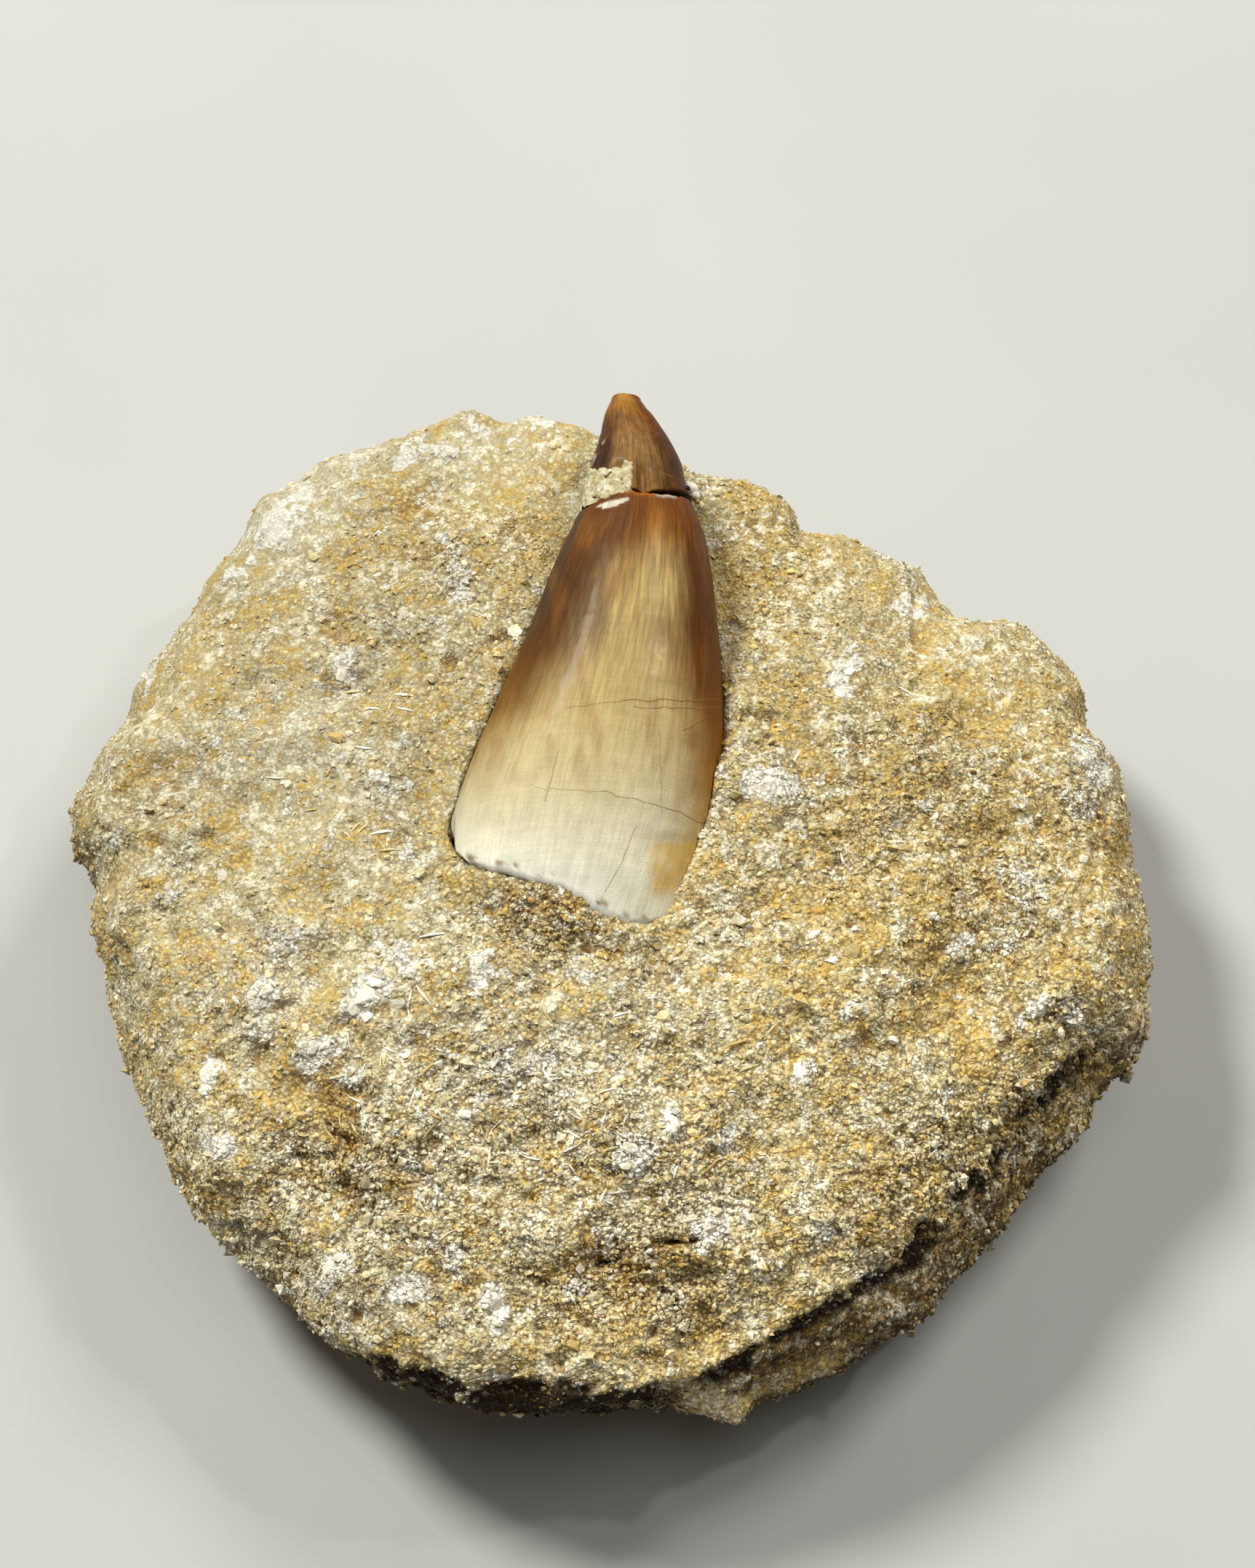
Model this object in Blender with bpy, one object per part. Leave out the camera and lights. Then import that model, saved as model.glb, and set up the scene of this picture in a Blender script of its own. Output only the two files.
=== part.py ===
"""A fossil mosasaur tooth lying in its lump of sandy matrix stone.

The stone lies on a small flat spot, with the tooth half buried in its top face and the tip of the
tooth over the far rim. X runs to the right, Y from the near rim to the far rim, and Z up. The
origin is in the flat spot, under the middle of the stone. Sizes are in millimetres, and become
metres where a mesh is made.
"""

import math

import bmesh
import bpy
from mathutils import Vector, noise
from mathutils.geometry import delaunay_2d_cdt

MM = 0.001
FIT_GAP = 0.3

# The stone's widest line seen from above, anticlockwise from the right (x, y)
STONE_OUTLINE = (
    (50.4, 0.0),
    (49.3, 7.5),
    (48.9, 14.4),
    (47.8, 19.4),
    (45.4, 23.2),
    (45.0, 26.6),
    (43.2, 30.8),
    (39.8, 33.8),
    (34.2, 34.8),
    (32.3, 36.6),
    (30.0, 40.0),
    (26.0, 40.7),
    (23.0, 42.1),
    (17.8, 42.4),
    (16.8, 46.8),
    (10.8, 48.5),
    (3.0, 51.2),
    (-1.4, 53.7),
    (-7.6, 56.2),
    (-11.2, 55.2),
    (-14.6, 56.9),
    (-19.6, 54.0),
    (-28.4, 51.4),
    (-31.3, 48.9),
    (-34.8, 47.2),
    (-36.3, 43.6),
    (-40.3, 38.1),
    (-45.4, 28.3),
    (-46.9, 24.0),
    (-50.6, 19.2),
    (-52.4, 14.8),
    (-52.0, 10.2),
    (-49.1, 6.8),
    (-48.3, 1.6),
    (-46.1, -7.2),
    (-44.0, -13.4),
    (-41.8, -19.2),
    (-38.9, -24.9),
    (-32.1, -30.6),
    (-26.0, -36.1),
    (-20.3, -40.3),
    (-14.0, -43.2),
    (-5.0, -45.0),
    (1.0, -43.8),
    (6.6, -43.4),
    (13.4, -42.0),
    (19.8, -39.2),
    (29.3, -33.0),
    (32.7, -28.8),
    (41.6, -19.0),
    (45.0, -13.8),
    (49.8, -8.2),
)
OUTLINE_STEP = 2.5

# Round the stone by angle from +X: how far inside the widest line the crest of the top face
# lies, the crest's height, and the height of the widest line
STONE_EDGE = (
    (-180, 3.0, 22.5, 15.0),
    (-165, 5.0, 22.5, 13.5),
    (-150, 4.6, 22.0, 13.5),
    (-130, 2.6, 21.0, 15.5),
    (-115, 1.2, 20.5, 17.0),
    (-90, 0.7, 20.0, 17.0),
    (-80, 1.6, 20.2, 15.0),
    (-70, 3.4, 20.8, 12.5),
    (-58, 4.6, 21.6, 11.5),
    (-42, 4.8, 22.0, 11.5),
    (-28, 6.8, 22.8, 11.5),
    (-16, 7.4, 23.0, 12.5),
    (-6, 4.6, 22.6, 14.0),
    (6, 3.2, 22.4, 15.5),
    (20, 3.8, 22.6, 15.0),
    (38, 5.2, 22.0, 14.5),
    (60, 3.6, 23.2, 16.0),
    (90, 3.2, 24.2, 17.0),
    (115, 3.8, 24.0, 16.5),
    (140, 4.2, 23.4, 15.5),
    (162, 5.2, 22.4, 14.5),
)
STONE_TOP = 30.2
TOP_FULLNESS = 2.3
TOP_GRID = 2.15
TOP_JITTER = 1.5

# The side under the crest: share of the crest's inset, and share of the drop to the widest line
SHOULDER = ((0.52, 0.28), (0.16, 0.62), (0.0, 1.0))
# Under the widest line: share of the outline's reach, and share of the widest line's height
UNDERSIDE = ((0.975, 0.66), (0.925, 0.36), (0.83, 0.13))
# The bulging bottom, which the flat spot cuts: share of the outline's reach, and height
BOTTOM = ((0.66, 1.0), (0.49, -0.1), (0.26, -0.9))
BOTTOM_MIDDLE = -1.2
CALMING = 4

# Lumps (height above 0) and hollows of the top face: x, y, half length, half width, turn, height
TOP_FORMS = (
    (-42.5, 13.5, 4.6, 3.6, 20, -1.5),
    (-46.5, 8.5, 3.0, 2.6, 0, 0.9),
    (-25.0, 22.2, 2.2, 1.5, 0, -1.5),
    (-25.2, 25.0, 2.2, 1.6, 10, 0.9),
    (-20.5, 22.0, 1.6, 1.3, 0, -0.8),
    (-3.5, -3.2, 7.0, 3.2, -18, -1.6),
    (5.2, -6.8, 1.8, 1.4, 0, -1.1),
    (11.8, -1.2, 2.2, 1.4, 10, -1.2),
    (-25.0, -23.5, 8.0, 2.4, 112, -1.1),
    (-30.5, -28.5, 6.0, 4.0, 30, -0.8),
    (6.4, -33.8, 2.8, 1.1, 8, -1.6),
    (7.2, -31.4, 2.6, 1.4, 8, 0.8),
    (-2.0, -35.0, 6.0, 2.6, 15, -0.7),
    (11.0, -38.0, 6.0, 3.0, 30, -0.9),
    (-11.5, -39.0, 5.0, 4.0, 0, 0.9),
    (-26.0, -35.5, 4.6, 3.6, 30, 0.9),
    (-19.0, -38.0, 2.6, 2.2, 0, 0.6),
    (-32.0, -9.0, 3.2, 2.4, 20, 0.9),
    (-22.5, -9.0, 3.4, 2.4, 20, 0.9),
    (-12.0, -7.0, 3.0, 4.0, 0, 0.6),
    (21.5, -9.5, 3.0, 4.6, 10, 0.9),
    (37.0, -11.5, 5.0, 2.6, 35, 0.7),
    (31.0, -18.5, 5.0, 3.0, 30, 0.7),
    (31.5, -7.0, 2.4, 1.6, 20, -0.9),
    (27.5, -19.5, 2.0, 1.4, 0, -0.8),
    (14.0, 11.5, 3.0, 2.6, 0, 0.8),
    (11.5, 9.0, 1.4, 1.2, 0, -0.9),
    (16.0, 8.5, 1.6, 1.2, 0, -0.8),
    (34.8, 7.3, 2.0, 1.6, 0, -1.0),
    (33.2, 19.4, 3.0, 2.0, 30, -1.0),
    (28.5, 25.8, 2.4, 1.8, 30, -0.9),
    (24.0, 24.0, 5.0, 3.0, 60, 0.8),
    (44.0, 15.5, 3.4, 2.4, 110, 1.0),
    (46.6, -1.6, 1.8, 1.4, 0, -1.2),
    (-16.0, 43.0, 8.0, 3.4, 10, -0.8),
    (-33.0, 35.0, 6.0, 4.0, 50, -0.7),
    (-17.5, 16.5, 3.0, 1.6, 40, 0.8),
    (-33.5, 9.5, 2.2, 1.8, 0, -0.9),
    (-30.0, 3.0, 4.0, 2.4, 10, 0.7),
    (-37.0, -20.5, 3.0, 2.0, 60, 0.8),
    (-39.0, -6.5, 4.0, 2.2, 70, 0.6),
    (3.0, -23.5, 4.0, 2.4, -30, 0.7),
    (18.0, -29.0, 4.0, 2.6, 20, 0.7),
)

# Forms of the side: angle, height, half length round the rim, half height, how far they stand out
SIDE_FORMS = (
    (-76.5, 13.0, 2.4, 2.6, 4.2),
    (-84.0, 15.0, 5.0, 2.4, -1.0),
    (-100.0, 14.0, 8.0, 3.0, -1.0),
    (-62.0, 16.5, 6.0, 1.6, -1.4),
    (-48.0, 17.0, 5.0, 1.6, -1.1),
    (-20.0, 17.5, 4.0, 2.0, -1.2),
    (-150.0, 16.0, 6.0, 2.2, -0.9),
    (-168.0, 12.0, 5.0, 3.0, 1.0),
    (35.0, 15.0, 6.0, 3.0, 1.0),
    (80.0, 11.0, 7.0, 4.0, 1.2),
    (105.0, 14.0, 6.0, 2.4, -1.4),
    (128.0, 10.0, 8.0, 3.4, 1.4),
    (160.0, 9.0, 6.0, 3.0, -1.2),
    (55.0, 8.0, 5.0, 2.6, -1.3),
)

# Uneven relief all over the stone: size of the lumps, and height
RELIEF = ((13.0, 1.0), (6.0, 0.8), (3.1, 0.5))
RELIEF_SEED = Vector((3.7, 11.2, 5.1))

# The tooth's axis: y, x, height, half width, half height
TOOTH_AXIS = (
    (-3.0, -4.3, 25.0, 11.4, 5.6),
    (3.0, -3.6, 25.9, 12.0, 7.4),
    (7.9, -2.8, 26.5, 12.2, 8.2),
    (11.1, -2.0, 27.0, 12.0, 8.5),
    (15.5, -1.0, 27.6, 11.4, 8.6),
    (20.0, -0.1, 28.2, 10.5, 8.4),
    (26.2, 1.1, 29.2, 9.0, 7.7),
    (32.7, 1.9, 30.1, 7.5, 6.6),
    (36.3, 2.4, 30.5, 6.4, 5.7),
    (39.0, 2.5, 30.7, 5.3, 5.0),
    (41.0, 2.3, 30.8, 4.9, 4.7),
    (43.0, 2.3, 31.0, 4.4, 4.2),
    (44.6, 2.2, 31.2, 3.8, 3.6),
    (46.5, 1.9, 31.4, 2.9, 2.8),
    (48.5, 1.4, 31.8, 2.0, 2.0),
    (49.8, 1.1, 32.0, 1.3, 1.4),
    (50.3, 1.1, 32.1, 0.7, 0.8),
)
# Where the enamel ends at the base: place across, from -1 on the left to 1, and y on the axis
BASE_EDGE = (
    (-1.0, 7.6),
    (-0.88, 4.4),
    (-0.68, 3.2),
    (-0.42, 2.2),
    (-0.14, 1.6),
    (0.06, 0.8),
    (0.3, -0.6),
    (0.5, -1.1),
    (0.7, -0.9),
    (0.85, 0.4),
    (0.94, 2.4),
    (1.0, 5.4),
)
# The break across the tooth: place across, and y on the axis
BREAK_LINE = ((-1.0, 37.9), (-0.6, 38.2), (-0.2, 38.8), (0.15, 38.4), (0.5, 38.6), (1.0, 39.2))
BREAK_WIDENS = 0.35
TOOTH_AROUND = 32
CROWN_STATIONS = 21
TIP_STATIONS = 9
# A low keel runs up the left flank: angle in the section, half width, height as a share of the radius
KEEL = (152.0, 11.0, 0.045)
BASE_CAP_BULGE = 0.8
BASE_LIP = 0.5

# The filler in the break: angles in the tooth's section, how far it goes up the tip, and its depth
FILLER_FROM = 82.0
FILLER_TO = 172.0
FILLER_REACH = 3.4
FILLER_DEPTH = 0.4


def clear_scene():
    for thing in list(bpy.data.objects):
        bpy.data.objects.remove(thing)


def make_material(name, colour, roughness):
    material = bpy.data.materials.new(name)
    material.use_nodes = True
    shader = material.node_tree.nodes["Principled BSDF"]
    shader.inputs["Base Color"].default_value = (*colour, 1.0)
    shader.inputs["Roughness"].default_value = roughness
    shader.inputs["Metallic"].default_value = 0.0
    return material


def add_object(name, points, faces, material):
    """A mesh object from points in millimetres, with its faces turned outwards."""
    mesh = bpy.data.meshes.new(name)
    mesh.from_pydata([Vector(p) * MM for p in points], [], faces)
    shape = bmesh.new()
    shape.from_mesh(mesh)
    bmesh.ops.recalc_face_normals(shape, faces=shape.faces)
    shape.to_mesh(mesh)
    shape.free()
    thing = bpy.data.objects.new(name, mesh)
    bpy.context.scene.collection.objects.link(thing)
    if material:
        mesh.materials.append(material)
    return thing


def hide_cutter(thing):
    thing.hide_render = True
    thing.display_type = "WIRE"


def cut(thing, cutter):
    modifier = thing.modifiers.new("cut_" + cutter.name, "BOOLEAN")
    modifier.operation = "DIFFERENCE"
    modifier.solver = "EXACT"
    modifier.object = cutter


def between(table, at):
    """Values of a table whose rows start with a rising key, read at a key with straight runs."""
    if at <= table[0][0]:
        return table[0][1:]
    for low, high in zip(table, table[1:]):
        if at <= high[0]:
            share = (at - low[0]) / (high[0] - low[0])
            return tuple(a + (b - a) * share for a, b in zip(low[1:], high[1:]))
    return table[-1][1:]


def round_table(table, angle):
    """The same for a table that goes round, keyed by degrees."""
    first = table[0]
    closed = (*table, (first[0] + 360, *first[1:]))
    turned = (angle - first[0]) % 360 + first[0]
    return between(closed, turned)


def bell(distance):
    return math.exp(-distance * distance)


def outline_points():
    """The outline with its long sides divided, as points in order round the stone."""
    points = []
    for start, end in zip(STONE_OUTLINE, (*STONE_OUTLINE[1:], STONE_OUTLINE[0])):
        start, end = Vector(start), Vector(end)
        count = max(1, round((end - start).length / OUTLINE_STEP))
        points += [start.lerp(end, k / count) for k in range(count)]
    return points


def angle_of(point):
    return math.degrees(math.atan2(point.y, point.x))


def side_push(angle, height, reach):
    """How far the forms of the side push a point of the side outwards."""
    push = 0.0
    for at, level, length, tall, out in SIDE_FORMS:
        turned = (angle - at + 180) % 360 - 180
        along = math.radians(turned) * reach / length
        push += out * bell(along) * bell((height - level) / tall)
    return push


def calmed(outline, passes):
    """The outline with its corners rounded, for the parts of the stone that are far from it."""
    for _ in range(passes):
        before = (outline[-1], *outline[:-1])
        after = (*outline[1:], outline[0])
        outline = [(a + 2 * b + c) / 4 for a, b, c in zip(before, outline, after)]
    return outline


def ring_at(outline, place):
    """One ring round the stone. place gives a point's reach and height from its outline point."""
    ring = []
    for point in outline:
        angle = angle_of(point)
        reach, height = place(point.length, round_table(STONE_EDGE, angle))
        reach += side_push(angle, height, point.length)
        ring.append((*(point.normalized() * reach), height))
    return ring


def side_rings(outline):
    rings = []
    for inset_share, drop in SHOULDER:
        rings.append(
            ring_at(
                outline,
                lambda reach, edge: (
                    reach - edge[0] * inset_share,
                    edge[1] - (edge[1] - edge[2]) * drop,
                ),
            )
        )
    for reach_share, height_share in UNDERSIDE:
        outline = calmed(outline, CALMING)
        rings.append(
            ring_at(outline, lambda reach, edge: (reach * reach_share, edge[2] * height_share))
        )
    for reach_share, height in BOTTOM:
        outline = calmed(outline, CALMING)
        rings.append(ring_at(outline, lambda reach, edge: (reach * reach_share, height)))
    return rings


def crest_ring(outline):
    return ring_at(outline, lambda reach, edge: (reach - edge[0], edge[1]))


def top_forms(x, y):
    height = 0.0
    for at_x, at_y, length, width, turn, rise in TOP_FORMS:
        turn = math.radians(turn)
        along = (x - at_x) * math.cos(turn) + (y - at_y) * math.sin(turn)
        across = (y - at_y) * math.cos(turn) - (x - at_x) * math.sin(turn)
        height += rise * bell(math.hypot(along / length, across / width))
    return height


class Crest:
    """The crest ring, read by angle, so that the top face knows where it ends."""

    def __init__(self, ring):
        rows = sorted((angle_of(Vector(p[:2])), math.hypot(p[0], p[1]), p[2]) for p in ring)
        self.table = tuple(rows)

    def at(self, x, y):
        """(share of the way out to the crest, height of the crest) in the direction of a point."""
        reach, height = round_table(self.table, math.degrees(math.atan2(y, x)))
        return math.hypot(x, y) / reach, height

    def top_height(self, x, y):
        share, height = self.at(x, y)
        share = min(share, 1.0)
        dome = height + (STONE_TOP - height) * (1 - share**TOP_FULLNESS)
        return dome + top_forms(x, y)


def top_face(ring, first):
    """Points and triangles of the top face inside the crest ring, whose points start at first."""
    crest = Crest(ring)
    flat = [Vector(p[:2]) for p in ring]
    rows = int(60 / TOP_GRID)
    for row in range(-rows, rows + 1):
        for column in range(-rows, rows + 1):
            x = (column + 0.5 * (row % 2)) * TOP_GRID
            y = row * TOP_GRID * math.sqrt(0.75)
            shake = noise.noise_vector(Vector((x * 1.3, y * 1.3, 7.0))) * TOP_JITTER
            x, y = x + shake.x, y + shake.y
            if crest.at(x, y)[0] < 1 - 0.6 * TOP_GRID / math.hypot(x, y):
                flat.append(Vector((x, y)))
    edge = [list(range(len(ring)))]
    found, _, triangles, origin, _, _ = delaunay_2d_cdt(flat, [], edge, 1, 1e-5)
    number = {}
    points = []
    for index, (point, made_from) in enumerate(zip(found, origin)):
        rim = [k for k in made_from if k < len(ring)]
        if rim:
            number[index] = first + rim[0]
        else:
            number[index] = None
            points.append((index, (point.x, point.y, crest.top_height(point.x, point.y))))
    return points, number, triangles


def relief(point):
    return sum(h * noise.noise(point / size + RELIEF_SEED) for size, h in RELIEF)


def roughen(shape):
    """Moves each point of the stone along its normal by the uneven relief."""
    shape.normal_update()
    moves = [(v, v.normal * (relief(v.co / MM) * MM)) for v in shape.verts]
    for vertex, move in moves:
        vertex.co += move


def cut_flat_spot(shape):
    """Cuts the bulging bottom off level, and closes it with one flat face."""
    everything = [*shape.verts, *shape.edges, *shape.faces]
    made = bmesh.ops.bisect_plane(
        shape,
        geom=everything,
        dist=1e-7,
        plane_co=(0, 0, 0),
        plane_no=(0, 0, -1),
        clear_outer=True,
    )
    rim = [e for e in made["geom_cut"] if isinstance(e, bmesh.types.BMEdge)]
    for vertex in {v for e in rim for v in e.verts}:
        vertex.co.z = 0.0
    bmesh.ops.contextual_create(shape, geom=rim)


def build_stone(material):
    outline = outline_points()
    around = len(outline)
    rings = [crest_ring(outline), *side_rings(outline)]
    points = [p for ring in rings for p in ring]
    faces = []
    for level in range(len(rings) - 1):
        for k in range(around):
            following = (k + 1) % around
            upper, lower = level * around, (level + 1) * around
            faces.append((upper + k, upper + following, lower + following, lower + k))
    last = (len(rings) - 1) * around
    middle = len(points)
    points.append((0.0, 0.0, BOTTOM_MIDDLE))
    faces += [(last + k, last + (k + 1) % around, middle) for k in range(around)]

    inner, number, triangles = top_face(rings[0], 0)
    for index, point in inner:
        number[index] = len(points)
        points.append(point)
    faces += [tuple(number[k] for k in triangle) for triangle in triangles]

    stone = add_object("matrix_stone", points, faces, material)
    shape = bmesh.new()
    shape.from_mesh(stone.data)
    roughen(shape)
    cut_flat_spot(shape)
    bmesh.ops.triangulate(shape, faces=[f for f in shape.faces if len(f.verts) == 4])
    bmesh.ops.recalc_face_normals(shape, faces=shape.faces)
    shape.to_mesh(stone.data)
    shape.free()
    return stone


def keel_share(angle):
    at, width, height = KEEL
    return 1 + height * bell((angle - at) / width)


def tooth_point(y, angle, grow=0.0, scale=1.0):
    """A point of the tooth's surface, or inside it where scale is under 1."""
    x_mid, z_mid, half_width, half_height = between(TOOTH_AXIS, y)
    _, above, _, _ = between(TOOTH_AXIS, y + 1.5)
    _, below, _, _ = between(TOOTH_AXIS, y - 1.5)
    lean = math.atan2(above - below, 3.0)
    swell = keel_share(angle % 360) * scale
    across = (half_width * swell + grow) * math.cos(math.radians(angle))
    up = (half_height * swell + grow) * math.sin(math.radians(angle))
    return (x_mid + across, y - up * math.sin(lean), z_mid + up * math.cos(lean))


def base_y(angle):
    return between(BASE_EDGE, math.cos(math.radians(angle)))[0]


def break_y(angle):
    return between(BREAK_LINE, math.cos(math.radians(angle)))[0]


def tip_start_y(angle):
    widening = BREAK_WIDENS * max(0.0, math.cos(math.radians(angle)))
    return break_y(angle) + FIT_GAP + widening


def tooth_rings(start, end, stations, grow=0.0):
    """Rings of the tooth between two lines across it, each given as y by angle."""
    rings = []
    for station in range(stations + 1):
        share = station / stations
        ring = []
        for k in range(TOOTH_AROUND):
            angle = 360 * k / TOOTH_AROUND
            y = start(angle) + (end(angle) - start(angle)) * share
            ring.append(tooth_point(y, angle, grow))
        rings.append(ring)
    return rings


def middle_of(ring):
    return sum((Vector(p) for p in ring), Vector()) / len(ring)


def shrunk(ring, share, shift):
    """The ring drawn in towards its middle, and shifted along Y."""
    middle = middle_of(ring)
    moved = [middle + (Vector(p) - middle) * share for p in ring]
    return [tuple(p + Vector((0, shift, 0))) for p in moved]


def add_loft(name, rings, material, start_bulge=0.0, end_bulge=0.0):
    """A closed solid through the rings, with a fan on each end."""
    around = len(rings[0])
    points = [p for ring in rings for p in ring]
    faces = []
    for level in range(len(rings) - 1):
        for k in range(around):
            following = (k + 1) % around
            lower, upper = level * around, (level + 1) * around
            faces.append((lower + k, lower + following, upper + following, upper + k))
    last = (len(rings) - 1) * around
    for first, ring, bulge in ((0, rings[0], -start_bulge), (last, rings[-1], end_bulge)):
        middle = len(points)
        points.append(tuple(middle_of(ring) + Vector((0, bulge, 0))))
        faces += [(first + k, first + (k + 1) % around, middle) for k in range(around)]
    return add_object(name, points, faces, material)


def build_crown(material):
    rings = tooth_rings(base_y, break_y, CROWN_STATIONS)
    lip = shrunk(rings[0], 0.95, -BASE_LIP)
    return add_loft("tooth_crown", [lip, *rings], material, start_bulge=BASE_CAP_BULGE)


def build_tip(material):
    rings = tooth_rings(tip_start_y, lambda angle: TOOTH_AXIS[-1][0], TIP_STATIONS)
    return add_loft("tooth_tip", rings, material, end_bulge=0.25)


def build_pocket():
    rings = tooth_rings(
        lambda angle: base_y(angle) - FIT_GAP,
        lambda angle: TOOTH_AXIS[-1][0],
        CROWN_STATIONS + TIP_STATIONS,
        grow=FIT_GAP,
    )
    lip = shrunk(rings[0], 0.96, -BASE_LIP - FIT_GAP)
    pocket = add_loft("pocket_cutter", [lip, *rings], None, BASE_CAP_BULGE, end_bulge=1.0)
    hide_cutter(pocket)
    return pocket


def filler_block(name, spare, outer, material):
    """A block of the tip's wall between two angles. spare is how much smaller it is than its bed."""
    turn = math.degrees(spare / TOOTH_AXIS[10][3])
    angles = [FILLER_FROM + turn, *range(95, 165, 14), FILLER_TO - turn]
    inner = FILLER_DEPTH + spare / TOOTH_AXIS[10][3]
    levels = (spare, FILLER_REACH * 0.5, FILLER_REACH - spare)
    rings = []
    for level in levels:
        rise = [tip_start_y(a) + level - FIT_GAP for a in angles]
        outside = [tooth_point(y, a, scale=outer) for y, a in zip(rise, angles)]
        inside = [tooth_point(y, a, scale=inner) for y, a in zip(rise, angles)]
        rings.append([*outside, *reversed(inside)])
    return add_loft(name, rings, material)


def build_filler(material):
    filler = filler_block("break_filler", FIT_GAP, 1.0, material)
    bed = filler_block("filler_bed", 0.0, 1.5, None)
    hide_cutter(bed)
    return filler, bed


def main():
    clear_scene()
    stone_material = make_material("matrix", (0.50, 0.38, 0.20), 0.95)
    enamel = make_material("enamel", (0.36, 0.21, 0.09), 0.25)
    tip_enamel = make_material("tip_enamel", (0.30, 0.12, 0.03), 0.25)
    filler_material = make_material("filler", (0.72, 0.62, 0.42), 0.9)

    stone = build_stone(stone_material)
    build_crown(enamel)
    tip = build_tip(tip_enamel)
    _, bed = build_filler(filler_material)
    cut(stone, build_pocket())
    cut(tip, bed)


main()
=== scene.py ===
"""Looks of the fossil mosasaur tooth in its matrix stone.

A dense stone skin with sand grains and shell flecks, the enamel of the crown and tip, and the filler
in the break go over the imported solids. Sizes are in millimetres, and become metres where a mesh is
made. A place given as (right, up) is seen from the camera: it is measured across the view, in the
plane through PLANE_MIDDLE, and the thing there is laid on the stone or the tooth along that sight line.
"""

import itertools
import math

import bpy
import numpy as np
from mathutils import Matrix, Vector, noise
from mathutils.bvhtree import BVHTree


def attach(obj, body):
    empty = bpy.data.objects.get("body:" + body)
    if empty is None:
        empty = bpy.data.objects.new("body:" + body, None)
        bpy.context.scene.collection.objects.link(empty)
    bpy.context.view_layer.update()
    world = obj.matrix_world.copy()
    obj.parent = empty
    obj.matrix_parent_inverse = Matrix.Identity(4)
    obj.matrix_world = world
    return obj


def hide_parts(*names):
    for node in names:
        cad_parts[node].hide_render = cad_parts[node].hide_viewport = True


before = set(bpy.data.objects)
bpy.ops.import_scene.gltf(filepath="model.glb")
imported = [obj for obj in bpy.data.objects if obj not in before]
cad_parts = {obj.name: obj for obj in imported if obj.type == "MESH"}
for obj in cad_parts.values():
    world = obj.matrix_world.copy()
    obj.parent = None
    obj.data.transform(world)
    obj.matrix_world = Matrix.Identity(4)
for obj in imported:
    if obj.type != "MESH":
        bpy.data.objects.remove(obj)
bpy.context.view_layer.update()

MM = 0.001
BODY = "root"

# The camera, which looks down on the stone
ELEVATION = 66.0
LENS = 85.0
SENSOR_WIDTH = 36.0
CLIP_START = 0.01
CAMERA_DISTANCE = 339.4
AIM = Vector((1.5, 11.39, 29.07))
PLANE_MIDDLE = Vector((0.0, 0.0, 24.0))

# The stone's skin
VOXEL = 0.42
SKIN_SMOOTHING = 9
SKIN_PIECES = 3
SKIN_RELIEF = ((5.0, 0.38), (2.4, 0.34), (1.2, 0.26), (0.8, 0.14))
PIT_SIZE = 2.1
PIT_FROM = 0.28
PIT_DEPTH = 1.3
# Next to the tooth: how far its surface is looked for, and the reach and the pull on the sand
SEAM_SEARCH = 4.0
SEAM_REACH = 0.85
SEAM_PULL = 0.34
# How far up something overhead is looked for
OVERHEAD = 30.0
# Rubble that leans against the broken base of the crown
RUBBLE_DROP = -0.3
RUBBLE_SLOPE = 0.5
RUBBLE_REACH = 5.0

# Sand grains: number, and radius as a middle value and a spread of its logarithm
GRAIN_COUNT = 36000
GRAIN_RADIUS = 0.15
GRAIN_SPREAD = 0.42
GRAIN_PIECES = 3
GRANULE_COUNT = 1800
GRANULE_RADIUS = 0.30
FLECK_COUNT = 420
FLECK_RADIUS = 0.27
UNDERSIDE_SHARE = 0.35
# A grain near the tooth: how far off it matters, and the share of its radius that stays clear
TOOTH_SEARCH = 3.0
TOOTH_NEAR = 1.2
TOOTH_CLEAR = 0.55
# The part of the sand's light and shade that the grains on it take, as a power
GRAIN_LIFT = 0.45
# Cells of the sand's pattern: one grain, and one fleck of chalk
GRAIN_SIZE = 0.36
CHALK_SIZE = 0.85

# The tooth's surface. The spans are the y between which the crown and the tip are looked for
CROWN_SPAN = (-6.0, 42.0)
TIP_SPAN = (37.0, 52.0)
FORM_START = 9.0
FORM_END = 49.6
FORM_STEP = 0.8
BREAK_NEAR = 36.8
BREAK_FAR = 41.0
FAR_AWAY = 100.0
# Where the tooth's axis is first looked for: x and z
FORM_AXIS = (-2.0, 28.0)
# A hit counts as the surface where it faces out and lies far enough from the axis
LEAST_FACING = 0.3
LEAST_REACH = 0.35
EDGE_HALVINGS = 14
EDGE_INSET = 0.004
# How much fuller the tip gets towards its end: y, and share of its half width
TIP_FULLER_RIGHT = ((42.0, 0.0), (44.5, 0.06), (47.0, 0.17), (49.4, 0.32), (50.4, 0.42))
TIP_FULLER_LEFT = ((44.0, 0.0), (47.0, 0.03), (49.4, 0.10), (50.4, 0.20))
CROWN_STATIONS = 200
TIP_STATIONS = 70
COARSE_AROUND = 96
TOOTH_AROUND = 176
END_UNEVEN = 0.3
# The right lower corner of the crown's base reaches further: millimetres, and radians round the tooth
CORNER_REACH = 1.0
CORNER_ANGLE = 0.8
CORNER_WIDTH = 0.5

# Seeds of the random draws
GRAIN_SEED = 4415
GRANULE_SEED = 4416
SHELL_SEED = 4417
CRUMB_SEED = 4418

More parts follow.
